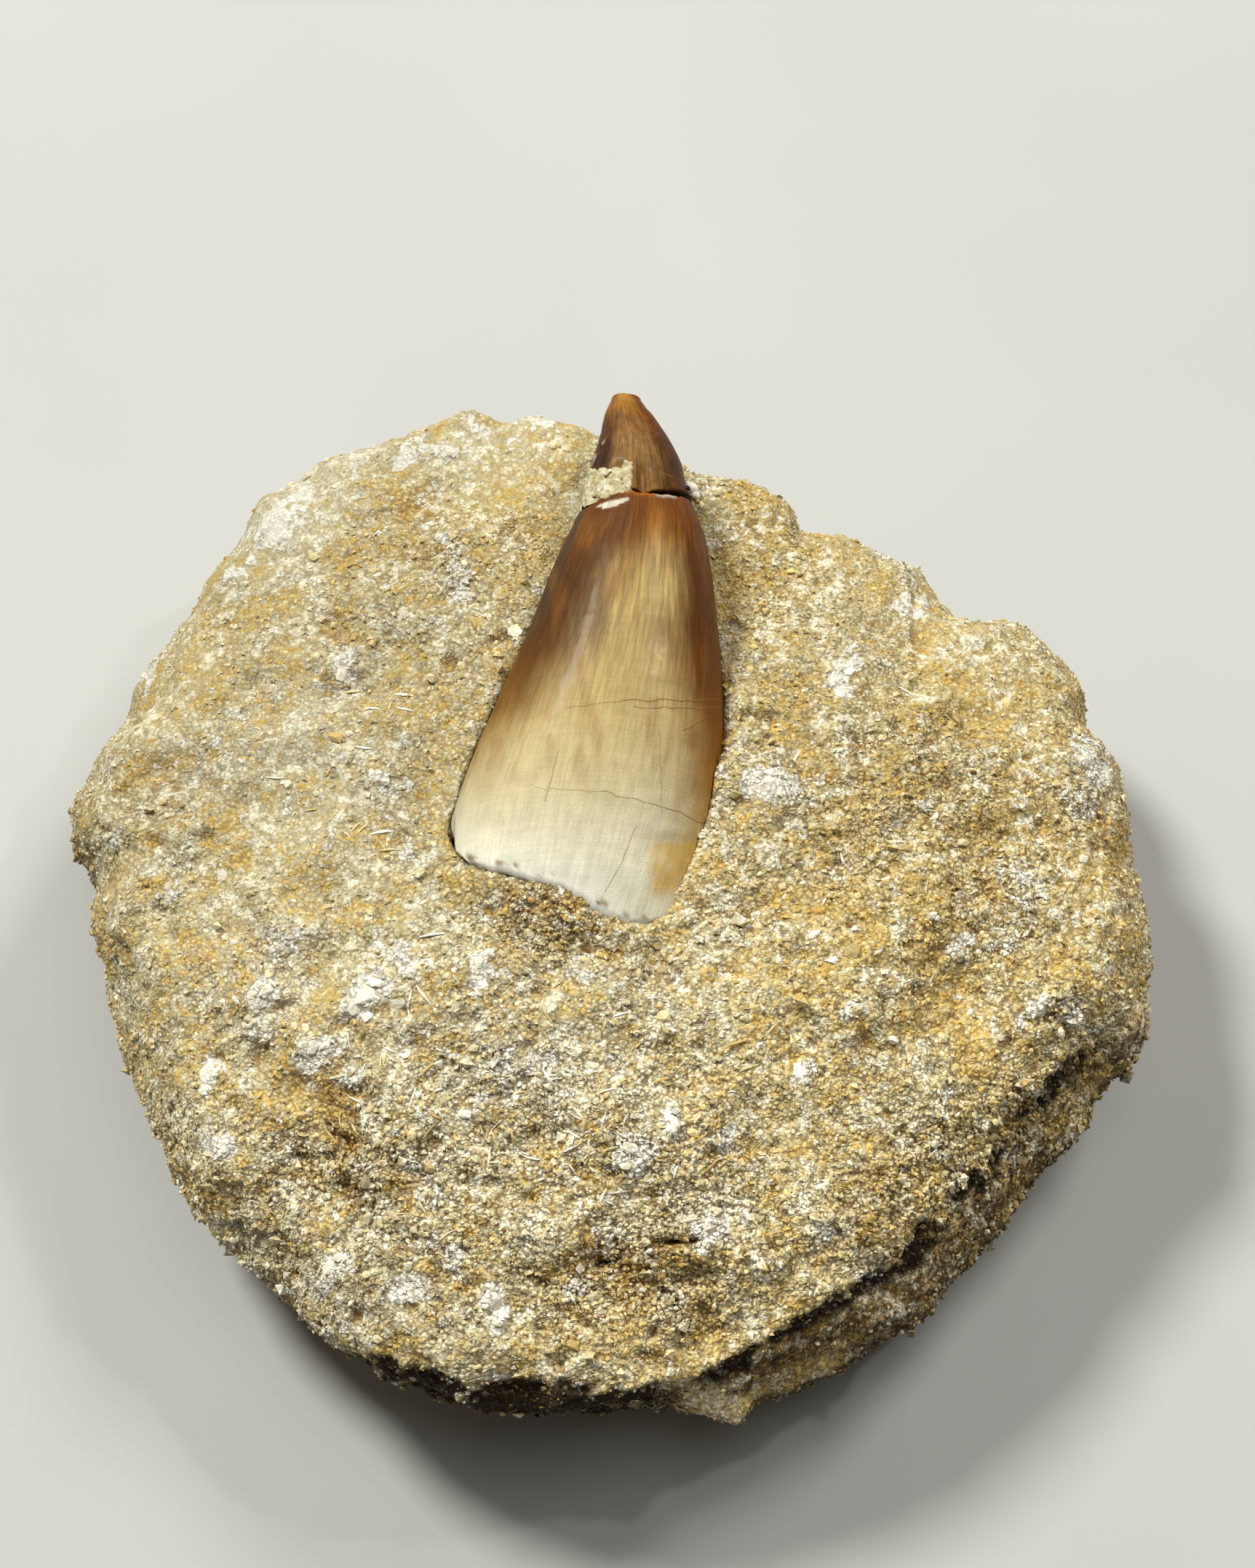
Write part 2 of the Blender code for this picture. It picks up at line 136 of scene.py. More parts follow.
# Stains of the stone by kind: right, up, half length, half width, turn in degrees, strength. Besides the
# stains, one kind is painted shade in bands below the crests and along the undercut, where the skin is also
# carved a little, and one is painted light on a chip in shade.
STAINS = {
    "chalk": (
        (-31.7, -6.5, 1.9, 1.3, 30, 0.9), (-22.5, -6.8, 2.8, 1.5, 45, 1), (-18.5, -3.6, 2, 1.6, 0, 0.6),
        (-27.6, -12.3, 1.8, 1.4, 60, 0.9), (-23.6, -14.6, 1.8, 1.2, 10, 0.6),
        (-36.8, -14, 1.7, 0.8, 75, 0.9), (-36, -20.5, 2.4, 1.5, -30, 0.6), (-34, -15, 1.6, 1, 40, 0.5),
        (-26, -32.3, 2.4, 1.5, 60, 0.9), (-18.5, -33.8, 2.2, 1.5, 0, 0.7),
        (-10.6, -35.6, 2.1, 1.1, 100, 1), (-16.5, -25, 1.6, 1.6, 0, 0.4),
        (-12, -4.6, 2.4, 1.1, 80, 0.8), (-13.2, 0.8, 1.4, 1, 0, 0.5), (-7, -13, 2.4, 1.8, 20, 0.4),
        (-2.6, -4.6, 2.4, 1.6, 0, 0.4), (2, -21.3, 2, 1.7, 30, 0.8), (5.9, -18.6, 1.6, 1, 110, 0.9),
        (10.8, -20, 1.4, 1, 60, 0.7), (9.2, -28.6, 2, 1.4, 50, 0.8), (12.5, -27, 1.4, 1, 60, 0.5),
        (-24.7, 23.2, 1.6, 0.9, 100, 1), (-14, 29.6, 1.6, 1, 0, 0.5), (-19, 16, 1.4, 1.2, 0, 0.5),
        (-31, 36, 6, 2.2, 55, 0.5), (-17, 43, 6, 1.8, 15, 0.42), (-42, 24, 7, 1.4, 62, 0.36),
        (-7, 46, 4, 1.4, -20, 0.34), (14.4, 12.5, 2.6, 1.9, 20, 0.8), (21.5, 22.6, 2.6, 1.8, 60, 0.6),
        (27.5, 28.5, 2.6, 1.6, 10, 0.6), (22, -8.6, 1.9, 1.5, 30, 0.6), (17.6, -14, 1.6, 1.1, 60, 0.5),
        (32.5, -2.6, 1.7, 1.5, 0, 0.6), (38.5, -8.6, 2.6, 1.2, 40, 0.4), (44, 14.4, 3, 1.2, -60, 0.9),
        (22.4, -0.4, 1.2, 0.9, 0, 0.5), (30.5, -16.5, 2.2, 1.1, 25, 0.4),
    ),
    "grey": (
        (-28, 16, 11, 13, 0, 0.7), (-32, -8, 9, 9, 0, 0.5), (-8, -15, 15, 12, 0, 0.8),
        (-22, -34, 10, 4.5, 0, 0.7), (8, -23, 9, 7, 0, 0.6), (-24, 42, 18, 4.5, 28, 0.7),
        (14.5, 12, 4, 5, 0, 0.6),
    ),
    "yellow": (
        (32, 6, 17, 17, 0, 0.9), (14, 32, 5, 12, 0, 0.8), (30, 24, 10, 8, 0, 0.5),
        (-12, 36, 9, 6, 0, 0.7), (40, -18, 10, 10, 0, 0.7), (10, -38, 14, 7, 0, 0.6),
    ),
    "ochre": (
        (-18, 38, 3.6, 2.6, 10, 0.9), (-15.6, 33.6, 2.4, 2, 60, 0.6), (-5.5, 41, 3.4, 2, 100, 0.8),
        (-7.6, 35, 2.4, 1.8, 70, 0.6), (-32.5, 28, 2, 1.4, 80, 0.6), (-40.8, 12, 2, 2.6, 80, 0.5),
        (-27, -3, 1.6, 1.4, 0, 0.6), (-16, -3.6, 1.8, 1.8, 0, 0.5), (-15.8, 10, 1.6, 2.4, 90, 0.5),
        (10.6, 30, 8, 1.4, 92, 0.6), (12.5, 38.8, 3, 1.6, 0, 0.5), (36.5, 18.6, 4, 2, -40, 0.6),
        (38.5, 13, 3.2, 3, 0, 0.7), (45.6, 8, 5, 1.4, 95, 0.7), (44, -1, 3, 2.4, 0, 0.7),
        (30, 9, 3, 2.4, 0, 0.4), (26, -5, 3, 2, 20, 0.5), (31, -9.5, 3, 1.8, 20, 0.4),
        (10.6, 7.4, 1.4, 3, 0, 0.4), (23.6, -28, 1.7, 1.7, 0, 0.8), (-20.5, -23, 2.4, 2.4, 0, 0.6),
        (10, -38, 3, 1.8, 20, 0.7), (18, -35, 5, 1.8, 25, 0.6), (-6, 0.6, 6, 2.2, -14, 1),
        (-1, -2, 3.6, 2, -10, 0.9),
    ),
    "brown": (
        (-6.5, 0.6, 4.8, 1.5, -14, 0.55), (-0.6, -2.2, 3, 1.4, -10, 0.45), (-5, -3, 2.4, 1.2, 0, 0.4),
        (4.6, -4.6, 1.7, 1.3, 0, 0.8), (11.8, 0.4, 1.9, 1.1, 10, 0.7), (12.2, 8.8, 1.3, 0.9, 0, 0.5),
        (8.4, -9.4, 1.6, 1, 60, 0.6), (-25, -18.6, 6, 1.8, 112, 0.8), (-28.2, -15, 2.2, 1.6, 0, 0.7),
        (-22.6, -25.6, 3.4, 2.2, -20, 0.8), (-31, -20, 3.4, 2.4, 0, 0.5),
        (-18, -30, 3.4, 1.4, -20, 0.5), (0, -30.4, 6, 2.2, 10, 0.6), (6, -29.8, 2, 0.6, 8, 1),
        (3, -36, 6, 2.6, 10, 0.6), (-41.6, 13.4, 1.8, 2.6, 80, 0.7), (-40, 11, 5, 4, 0, 0.45),
        (-24.8, 21, 1.6, 0.7, 0, 0.9), (-20.8, 21.2, 1.4, 0.6, 0, 0.6), (34.8, 8.2, 2, 1.4, 0, 0.5),
        (29.6, 16.4, 1.6, 1.3, 0, 0.5), (31, -9, 2, 1.2, 20, 0.4), (46.4, 0.4, 1.6, 1, 0, 0.6),
        (15.4, -22.8, 4, 1.2, 60, 0.4), (-34, -26, 5, 2, -50, 0.5), (16, -39.5, 8, 1.8, 30, 0.8),
        (25, -36, 9, 2.2, 40, 0.8), (36.5, -24, 8, 2, 47, 0.8), (45, -14, 6, 1.6, 50, 0.7),
    ),
    # Painted shade below the crests and along the undercut
    "shade_band": (
        (41, -15, 6, 1.1, 42, 0.9), (34, -23.5, 6, 1.1, 48, 0.9), (28, -30.5, 4, 1, 50, 1.4),
        (20, -36, 8, 0.9, 32, 1.4), (11, -41.2, 4, 0.9, 32, 1.4), (1.5, -44.2, 4.5, 1.1, 8, 1.6),
        (-6, -44.3, 9, 1.7, -2, 2), (-17.5, -42.6, 6, 1.3, -24, 1.6), (6, -29.5, 2.7, 0.36, 4, 1.1),
        (-0.2, -31.5, 1.6, 0.3, 20, 0.9),
    ),
    # Painted light on a chip that lies in shade
    "lit": (
        (8.8, -44.4, 3.2, 1.3, -8, 1),
    ),
}
# Share of its colour that painted shade takes from the shaded walls and the shade bands, and that painted
# light adds on the painted lit patch
WALL_SHADE = 0.45
SHADE_BAND_DARKENING = 0.33
LIT_GAIN = 0.6
# The way that the walls face that are in shade
WALL_WAY = (0.45, -0.89, 0.0)

# Painted light and shade of the sand, along the view's height and its width, that evens out how the lamps
# light its top
UP_LEVEL = (
    (-46, 1.36), (-20, 1.3), (-4, 1.12), (12, 0.92), (40, 0.87),
)
RIGHT_LEVEL = (
    (-46, 0.84), (-20, 0.85), (5, 0.98), (40, 1.04),
)

# Where the sand lies smooth and its grains hardly stand out, and where they stand out most
SMOOTH_PLACES = (
    (-30, 38, 14, 8, 40, 1), (-12, 43, 12, 6, 0, 0.9), (-40, 20, 12, 8, 60, 0.6),
    (30, 27, 12, 6, -35, 0.4), (-30, 12, 18, 20, 0, 0.45),
)
ROUGH_PLACES = (
    (-6, -1, 7, 3, -15, 1), (-24, -22, 9, 6, 0, 0.8), (4, -33, 14, 6, 5, 0.8),
    (34, -22, 20, 9, 45, 0.8), (0, -24, 34, 14, 0, 0.5), (30, 2, 18, 16, 0, 0.3),
)

# Long thin shells: right, up, length, width, turn in degrees, bend, kind
SLIVERS = (
    (10.8, -12, 3.7, 0.42, 32, 0.5, "ochre"), (12.6, -13.6, 2, 0.3, 20, 0.2, "sand"),
    (-18.4, -7.7, 2.4, 0.3, 86, 0.2, "chalk"), (-17.2, -6.8, 2.2, 0.26, 128, 0.2, "chalk"),
    (-21, 8, 2.1, 0.34, 8, 0.1, "chalk"), (-20.4, 6.4, 1.6, 0.26, 4, 0.1, "sand"),
    (-16.8, -19.6, 2.2, 0.28, 55, 0.2, "ochre"), (-25.8, -19.6, 2, 0.28, 128, 0.1, "ochre"),
    (-16.4, -1.4, 2.4, 0.3, 8, 0.1, "chalk"), (-23.6, 20.9, 1.8, 0.3, 4, 0.1, "sand"),
    (-19, 20.6, 1.8, 0.3, -4, 0.1, "chalk"), (16.8, 14.6, 1.4, 0.3, 60, 0.1, "chalk"),
    (16.2, 11.8, 1.3, 0.26, 110, 0.1, "chalk"), (13.2, -7.4, 1.6, 0.26, 70, 0.1, "sand"),
    (-28.6, -17.4, 2, 0.26, 120, 0.1, "ochre"), (14.6, -10.2, 2, 0.24, 48, 0.2, "sand"),
    (7, -27.6, 2.4, 0.34, 12, 0.1, "chalk"), (27, 21, 1.6, 0.26, 150, 0.1, "chalk"),
)
# Short shells strewn about: middle right and up, half width and half height of the place, number
SHELL_HASH = (
    (-4, -18, 13, 9, 64), (-20, -16, 9, 12, 34), (-24, 14, 9, 9, 10), (24, 4, 12, 12, 8),
)
CHIP_THICKNESS = 0.2
CHIP_RISE = 0.05
# Single bigger chips of shell: right, up, half length, half width, turn
CHIPS = (
    (-8.8, 26.5, 0.95, 0.75, 20), (18.6, -1.3, 0.75, 0.55, 30), (20.2, -3.7, 0.6, 0.4, 0),
    (-24.7, 22.6, 0.9, 0.6, 100), (-22.6, -7, 1.2, 0.8, 40), (-21.6, -5.8, 0.8, 0.6, 0),
    (-23.4, -8, 0.8, 0.6, 70), (-31.6, -6.4, 1, 0.6, 40), (-12.2, -4, 0.8, 0.5, 80),
    (-11.8, -6, 0.6, 0.5, 0), (-36.8, -13.6, 1.1, 0.4, 75), (-10.6, -35.2, 1, 0.7, 90),
    (-25.8, -31.6, 1, 0.6, 60), (-24.9, -31, 0.7, 0.5, 10), (-18.8, -12.4, 0.6, 0.5, 0),
    (-15.8, -13.2, 0.45, 0.4, 0), (5.9, -18.5, 0.9, 0.5, 110), (1.8, -21, 0.8, 0.6, 0),
    (9, -28.4, 0.9, 0.5, 50), (33, -8.4, 0.5, 0.4, 0), (14.6, 12.8, 0.7, 0.5, 30),
    (15.4, 11.6, 0.5, 0.4, 0), (-27.4, -11.6, 0.8, 0.6, 60), (-13.4, -17.8, 0.7, 0.5, 10),
    (27.4, 28.6, 0.8, 0.5, 10), (21.8, 22.8, 0.6, 0.5, 60),
)


def tone(red, green, blue):
    """A colour given as it looks on a screen, from 0 to 255, as a linear colour."""
    return np.array([((c / 255 + 0.055) / 1.055) ** 2.4 for c in (red, green, blue)])


SAND = tone(198, 184, 142)
GREY_SAND = tone(198, 190, 162)
YELLOW_SAND = tone(198, 174, 112)
OCHRE = tone(192, 152, 76)
CHALK = tone(226, 221, 206)
BROWN = tone(120, 76, 30)
DARK = tone(66, 48, 30)
PALE_SAND = tone(228, 222, 198)
WARM_SAND = tone(194, 162, 88)
WARM_GRAIN = tone(186, 154, 98)
PALE_GRAIN = tone(236, 226, 186)
CHALK_FACE = tone(232, 229, 216)
# Painted shade: in the hollows of the skin, on the walls that face away from the lamps and in their hollows.
# The gaps between grains are partly dark cement and partly painted shade
HOLLOW_BROWN = tone(158, 120, 58)
SHADED_WALL_BROWN = tone(94, 74, 42)
GAP_BROWN = tone(72, 40, 4)
DEEP_BROWN = tone(26, 14, 4)

# Share of a screen colour that the enamel itself has, under these lights
ENAMEL_SHARE = 0.85
CRACK_COLOUR = tone(120, 88, 50)
BROKEN_FACE = tone(120, 84, 48)
# Painted shade on the broken faces that lie deep in the crack
BREAK_SHADE = tone(34, 22, 12)
# Painted shade on the upper left facet, and a painted sheen along the left edge
FACET_SHADE = tone(72, 52, 38)
EDGE_SHEEN = tone(160, 126, 80)
RUST = tone(134, 86, 32)
AMBER = tone(212, 168, 72)
OLIVE = tone(160, 138, 78)
RIM_WHITE = tone(246, 243, 234)
BASE_WHITE = tone(232, 229, 214)
RUST_EDGE = tone(176, 98, 34)
RIM_DIRT = tone(126, 90, 48)
# Painted glints on the tip's left flank
TIP_GLINTS = tone(220, 186, 176)
FILLER = tone(180, 170, 138)
FILLER_STAIN = tone(150, 130, 80)
FILLER_WHITE = tone(216, 210, 192)
FILLER_PIT = tone(110, 86, 56)

# The crust of the filler: degrees round the tooth, millimetres along it, and how deep it sinks
FILLER_TURN = (70, 190)
FILLER_LEAD = 0.5
FILLER_LENGTH = 4.9
FILLER_GRID = (56, 130)
FILLER_SUNK = -0.35
FILLER_SHOWN = -0.3
# Outline of the filler on the view, as (right, up)
FILLER_OUTLINE = (
    (-2.6, 37.7), (-1.4, 37.8), (-1, 38.5), (0.2, 38.85), (1.8, 39.1), (2.1, 40.6), (2.15, 42),
    (1.2, 42.2), (0.8, 41.55), (-2.6, 41.4),
)
# Strip of filler on the crown's side of the crack
STRIP_OUTLINE = (
    (-1.5, 37.9), (-0.8, 37.6), (0.5, 37.9), (1.7, 38.5), (1.7, 38.8), (0.2, 38.6), (-1, 38.2),
)
# Crumbs at the right end of the break: right, up, radius, colour. The white ones are painted lighter than
# chalk, as painted light against the shadow of the tip, and the dark one is painted shade that stands for a
# pit
CRUMBS = (
    (7.3, 39.3, 0.62, CHALK * 1.15),
    (7.7, 38.8, 0.45, CHALK * 1.1),
    (7.0, 40.0, 0.3, CHALK * 1.15),
    (6.9, 39.55, 0.3, DARK * 0.4),
    (7.9, 38.3, 0.25, YELLOW_SAND),
)

# Enamel colours by height in the view: up, red, green, blue
WINDOW_TONES = (
    (0, 226, 221, 194), (4, 228, 223, 198), (8, 215, 206, 176), (12, 203, 188, 148),
    (16, 193, 174, 125), (20, 182, 158, 105), (26, 170, 144, 92), (31, 178, 151, 94),
    (34, 168, 136, 80), (35.8, 154, 108, 42), (37, 148, 92, 14), (38.5, 130, 74, 12),
)
# The flank colours hold the enamel's own brown together with painted shade, matched to how the flanks look
# under these lamps
LEFT_TONES = (
    (4, 199, 196, 174), (10, 163, 156, 124), (15, 150, 118, 62), (20, 116, 76, 26), (24, 92, 56, 15),
    (28, 76, 45, 10), (34, 90, 52, 13), (38, 98, 54, 13),
)
RIGHT_TONES = (
    (2, 228, 208, 150), (6, 214, 172, 72), (10, 180, 128, 44), (15, 150, 94, 24), (20, 118, 68, 15),
    (28, 92, 51, 10), (34, 98, 54, 12), (38, 108, 58, 12),
)
TIP_TONES = (
    (38, 117, 78, 36), (41, 124, 88, 45), (44, 134, 100, 56), (46, 120, 78, 36), (47.2, 143, 97, 36),
    (48.2, 172, 122, 58),
)
# The tip's dark sides hold its own brown together with painted shade, matched to how they look under these
# lamps
TIP_RIGHT_TONES = (
    (39, 88, 50, 10), (41, 78, 45, 9), (44, 76, 42, 8), (47, 114, 64, 15),
)
TIP_LEFT_TONES = (
    (40, 68, 41, 22), (43, 62, 36, 20), (45, 90, 52, 22), (47, 130, 82, 34),
)
# Where the pale window ends on the left and on the right, as a share of the half width, by height
LEFT_EDGE = (
    (4, -1.6), (10, -1.06), (15, -0.86), (20, -0.48), (24, -0.34), (28, -0.22), (32, -0.1), (35, 0.12),
    (38, 0.3),
)
RIGHT_EDGE = (
    (0, 0.95), (5, 0.88), (10, 0.78), (15, 0.74), (20, 0.66), (26, 0.54), (32, 0.48), (36, 0.4),
)
# Dark specks on the rim of the crown: right, up, size
RIM_SPECKS = (
    (-8.7, 5, 0.22), (-9.6, 5, 0.16), (-12.5, 5, 0.3), (-1.2, 1.6, 0.2), (-12.9, 5.6, 0.2),
)
# The enamel's maps: millimetres of the view, and millimetres along the tooth, that 1 stands for
VIEW_MAP = 100.0
GRAIN_MAP = 50
# Hairline cracks on the view's map: start, end, width, depth
CROWN_CRACKS = (
    ((-4, 19.5), (1, 20.1), 0.1, 0.35), ((1, 20.2), (9.9, 20.15), 0.11, 0.55),
    ((2, 19.5), (9.9, 19.45), 0.11, 0.45), ((6.5, 17.4), (9.6, 18.9), 0.1, 0.45),
    ((-7, 12.2), (-1, 11.8), 0.1, 0.25), ((-1, 11.8), (5, 10.4), 0.1, 0.4),
    ((5, 10.4), (8.6, 8.8), 0.11, 0.5), ((2.2, 8.6), (0.9, 5.2), 0.1, 0.34),
    ((0.9, 5.2), (-0.6, 2.6), 0.1, 0.34), ((-4.8, 15.6), (-6, 11), 0.1, 0.35),
    ((4.4, 17.6), (4.6, 9.8), 0.1, 0.3),
)
TIP_CRACKS = (
    ((0.5, 43.6), (4.4, 44.6), 0.1, 0.3), ((4.2, 41.2), (5.6, 40.6), 0.1, 0.4),
)
# Lights: name, way to it, distance and size in metres, power in watts, colour
LIGHTS = (
    ("key", (-0.48, 0.46, 0.74), 1.5, 0.36, 29.0, (0.98, 0.99, 0.92)),
    ("second", (0.46, 0.52, 0.72), 1.5, 0.45, 11.0, (0.98, 0.99, 0.93)),
    ("back", (0.55, 0.28, 0.78), 0.9, 0.05, 1.0, (1.0, 0.98, 0.95)),
    ("fill", (0.15, 0.05, 0.98), 1.5, 0.9, 4.5, (0.98, 0.98, 0.91)),
)
LIT_HEIGHT = 0.02
WORLD_COLOUR = (1.0, 0.95, 0.86, 1.0)
WORLD_STRENGTH = 0.10
FLOOR_SIDE = 1200.0
FLOOR_DROP = 0.05
FLOOR_TONES = ((0.40, 0.395, 0.385), (0.43, 0.425, 0.415))


def view_axes():
    """The camera's right, up and forward directions."""
    tilt = math.radians(ELEVATION)
    right = Vector((1, 0, 0))
    up = Vector((0, math.sin(tilt), math.cos(tilt)))
    forward = Vector((0, math.cos(tilt), -math.sin(tilt)))
    return right, up, forward


def linked(name, data):
    """A new object in the scene."""
    made = bpy.data.objects.new(name, data)
    bpy.context.scene.collection.objects.link(made)
    return made


def add_camera():
    _, _, forward = view_axes()
    data = bpy.data.cameras.new("camera")
    data.lens = LENS
    data.sensor_width = SENSOR_WIDTH
    data.clip_start = CLIP_START
    camera = linked("camera", data)
    camera.location = (AIM - forward * CAMERA_DISTANCE) * MM
    camera.rotation_euler = (math.radians(90 - ELEVATION), 0, 0)
    bpy.context.scene.camera = camera


def sight_line(right, up):
    """Start and direction, in millimetres, of the camera's ray through a place in the view plane."""
    across, upward, forward = view_axes()
    start = AIM - forward * CAMERA_DISTANCE
    through = PLANE_MIDDLE + across * right + upward * up
    return start, (through - start).normalized()


def in_view_plane(points):
    """Where points show in the view plane, as an array of (right, up)."""
    across, upward, forward = (np.array(v) for v in view_axes())
    start = np.array(AIM) - forward * CAMERA_DISTANCE
    away = points - start
    middle = np.array(PLANE_MIDDLE) - start
    scale = (middle @ forward) / (away @ forward)
    at = away * scale[:, None] - middle
    return np.stack([at @ across, at @ upward], axis=1)


# Reading meshes and making them


def mesh_arrays(mesh):
    """Points in millimetres, their normals, and triangles of a mesh."""
    count = len(mesh.vertices)
    points = np.empty(count * 3)
    mesh.vertices.foreach_get("co", points)
    normals = np.empty(count * 3)
    mesh.vertices.foreach_get("normal", normals)
    mesh.calc_loop_triangles()
    triangles = np.empty(len(mesh.loop_triangles) * 3, dtype=np.int32)
    mesh.loop_triangles.foreach_get("vertices", triangles)
    return points.reshape(-1, 3) / MM, normals.reshape(-1, 3), triangles.reshape(-1, 3)


def search_tree(*nodes):
    """A search tree over the surfaces of CAD nodes, in millimetres."""
    points = []
    triangles = []
    for node in nodes:
        at, _, corners = mesh_arrays(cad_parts[node].data)
        triangles += (corners + len(points)).tolist()
        points += at.tolist()
    return BVHTree.FromPolygons(points, triangles)


def make_mesh(name, points, faces, smooth=True):
    """A mesh from arrays: points in millimetres, and faces that all have as many corners."""
    mesh = bpy.data.meshes.new(name)
    corners = faces.shape[1]
    mesh.vertices.add(len(points))
    mesh.vertices.foreach_set("co", (points * MM).ravel())
    mesh.loops.add(faces.size)
    mesh.loops.foreach_set("vertex_index", faces.ravel().astype(np.int32))
    mesh.polygons.add(len(faces))
    mesh.polygons.foreach_set("loop_start", np.arange(0, faces.size, corners, dtype=np.int32))
    mesh.polygons.foreach_set("use_smooth", np.full(len(faces), smooth))
    mesh.update(calc_edges=True)
    return mesh


def add_piece(name, mesh, material, replaced=()):
    """Links a finished mesh as a piece that rides on the stone's body."""
    piece = linked(name, mesh)
    mesh.materials.clear()
    mesh.materials.append(material)
    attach(piece, BODY)
    if replaced:
        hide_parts(*replaced)
    return piece


def store(mesh, **layers):
    """Keeps values on the points of a mesh, as colours where they have three parts."""
    for name, values in layers.items():
        if np.ndim(values) == 2:
            layer = mesh.attributes.new(name, "FLOAT_COLOR", "POINT")
            layer.data.foreach_set("color", np.column_stack([values, np.ones(len(values))]).ravel())
        else:
            layer = mesh.attributes.new(name, "FLOAT", "POINT")
            layer.data.foreach_set("value", np.asarray(values, dtype=np.float32))


def array_piece(name, points, faces, material, slot, replaced=(), smooth=True, **layers):
    """A piece made of arrays, with values kept on its points."""
    mesh = make_mesh(name, points, faces, smooth)
    store(mesh, **layers)
    return add_piece(name, mesh, material, replaced)


def waves(points, size, seed):
    """Smooth noise from -1 to 1 at each point, with lumps of about that size in millimetres."""
    shift = Vector((seed * 7.31, seed * 3.17, seed * 5.71))
    return np.array([noise.noise(Vector(p) / size + shift) for p in points])


def blobs(seen, rows):
    """The strongest of a set of soft patches at each place of the view: half sizes, turn, strength."""
    found = np.zeros(len(seen))
    for right, up, length, width, turn, strength in rows:
        turn = math.radians(turn)
        x = seen[:, 0] - right
        y = seen[:, 1] - up
        along = (x * math.cos(turn) + y * math.sin(turn)) / length
        across = (y * math.cos(turn) - x * math.sin(turn)) / width
        found = np.maximum(found, strength * np.exp(-(along**2 + across**2)))
    return found


def sharpened(values, low, high):
    """Values spread so that low gives 0 and high gives 1, with soft ends."""
    share = np.clip((values - low) / (high - low), 0, 1)
    return share * share * (3 - 2 * share)


def held(values):
    """Values kept from 0 to 1."""
    return np.clip(values, 0, 1)


def peak(values, width):
    """1 where values are 0, and less the further they are from it."""
    return np.exp(-((values / width) ** 2))


def toward(colour, share, other):
    return colour + share[:, None] * (np.asarray(other) - colour)


class Sand:
    """The stone's colours and roughness at any points near its surface, and the painted light and shade on
    it.
    """

    def __init__(self, points, normals):
        self.count = len(points)
        seen = in_view_plane(points)
        # A stain belongs to the top and the near side, and not to what lies under or behind them
        facing = sharpened(normals @ -np.array(view_axes()[2]), -0.3, 0.05)
        mottled = waves(points, 5.2, 1) + 0.7 * waves(points, 2.3, 2)
        ragged = 0.75 + 0.9 * waves(points, 1.5, 3)
        far = waves(points, 13.0, 4)
        field = {kind: blobs(seen, rows) * facing for kind, rows in STAINS.items()}
        self.grey = held(field["grey"] + 0.35 * far + 0.25 * mottled)
        self.yellow = held(field["yellow"] - 0.3 * far - 0.3 * mottled)
        chalk = sharpened(field["chalk"] * ragged, 0.10, 0.42) + sharpened(mottled, 0.45, 1.0) * 0.6
        self.chalk = held(held(chalk) + 0.14 * self.grey)
        ochre = sharpened(field["ochre"] * ragged + 0.12 * mottled, 0.2, 0.8)
        self.ochre = held(ochre + 0.4 * sharpened(waves(points, 3.4, 5), 0.25, 0.6))
        self.brown = sharpened(field["brown"] * (ragged + 0.15), 0.15, 0.8)
        self.smooth = blobs(seen, SMOOTH_PLACES) * facing
        self.rough = held(blobs(seen, ROUGH_PLACES) * facing + 0.25 * far)
        # The sides and the underside are yellower and keep coarser sand
        self.side = sharpened(-normals[:, 2], -0.35, 0.3)
        # The near and right walls, which face away from the lamps, are painted darker as shade, and so are
        # the bands of painted shade below the crests
        self.shade_band = sharpened(field["shade_band"] * ragged, 0.1, 0.7)
        wall = sharpened(normals @ np.array(WALL_WAY), 0.45, 0.9)
        wall *= sharpened(0.45 - normals[:, 2], -0.15, 0.4)
        self.wall = np.maximum(wall * 0.75, self.shade_band) * (1 - field["lit"])
        # Painted light and shade by place in the view, less of it on the walls and more on the painted lit
        # patch
        level = blend_values(UP_LEVEL, seen[:, 1]) * blend_values(RIGHT_LEVEL, seen[:, 0])
        self.level = 1 + (level - 1) * (1 - self.wall) + LIT_GAIN * field["lit"]
        self.level *= 1 - WALL_SHADE * self.wall - SHADE_BAND_DARKENING * self.shade_band
        coarse = 0.42 + 0.6 * self.rough + 0.3 * self.side
        self.grit = np.clip(coarse - 0.55 * self.smooth + 0.2 * mottled, 0.06, 1)

    def colours(self):
        """The mean colour of the sand at each point."""
        colour = np.tile(SAND, (self.count, 1))
        for share, other in (
            (self.grey * 0.9, GREY_SAND),
            (self.yellow * 0.9, YELLOW_SAND),
            (self.side * 0.5, YELLOW_SAND),
            (self.ochre * 0.72, OCHRE),
            (self.brown * 0.7, BROWN),
            (self.chalk * 0.3, CHALK),
            # Painted shade on the walls that face away from the lamps
            (self.wall * 0.8, SHADED_WALL_BROWN),
        ):
            colour = toward(colour, share, other)
        return colour


# Materials


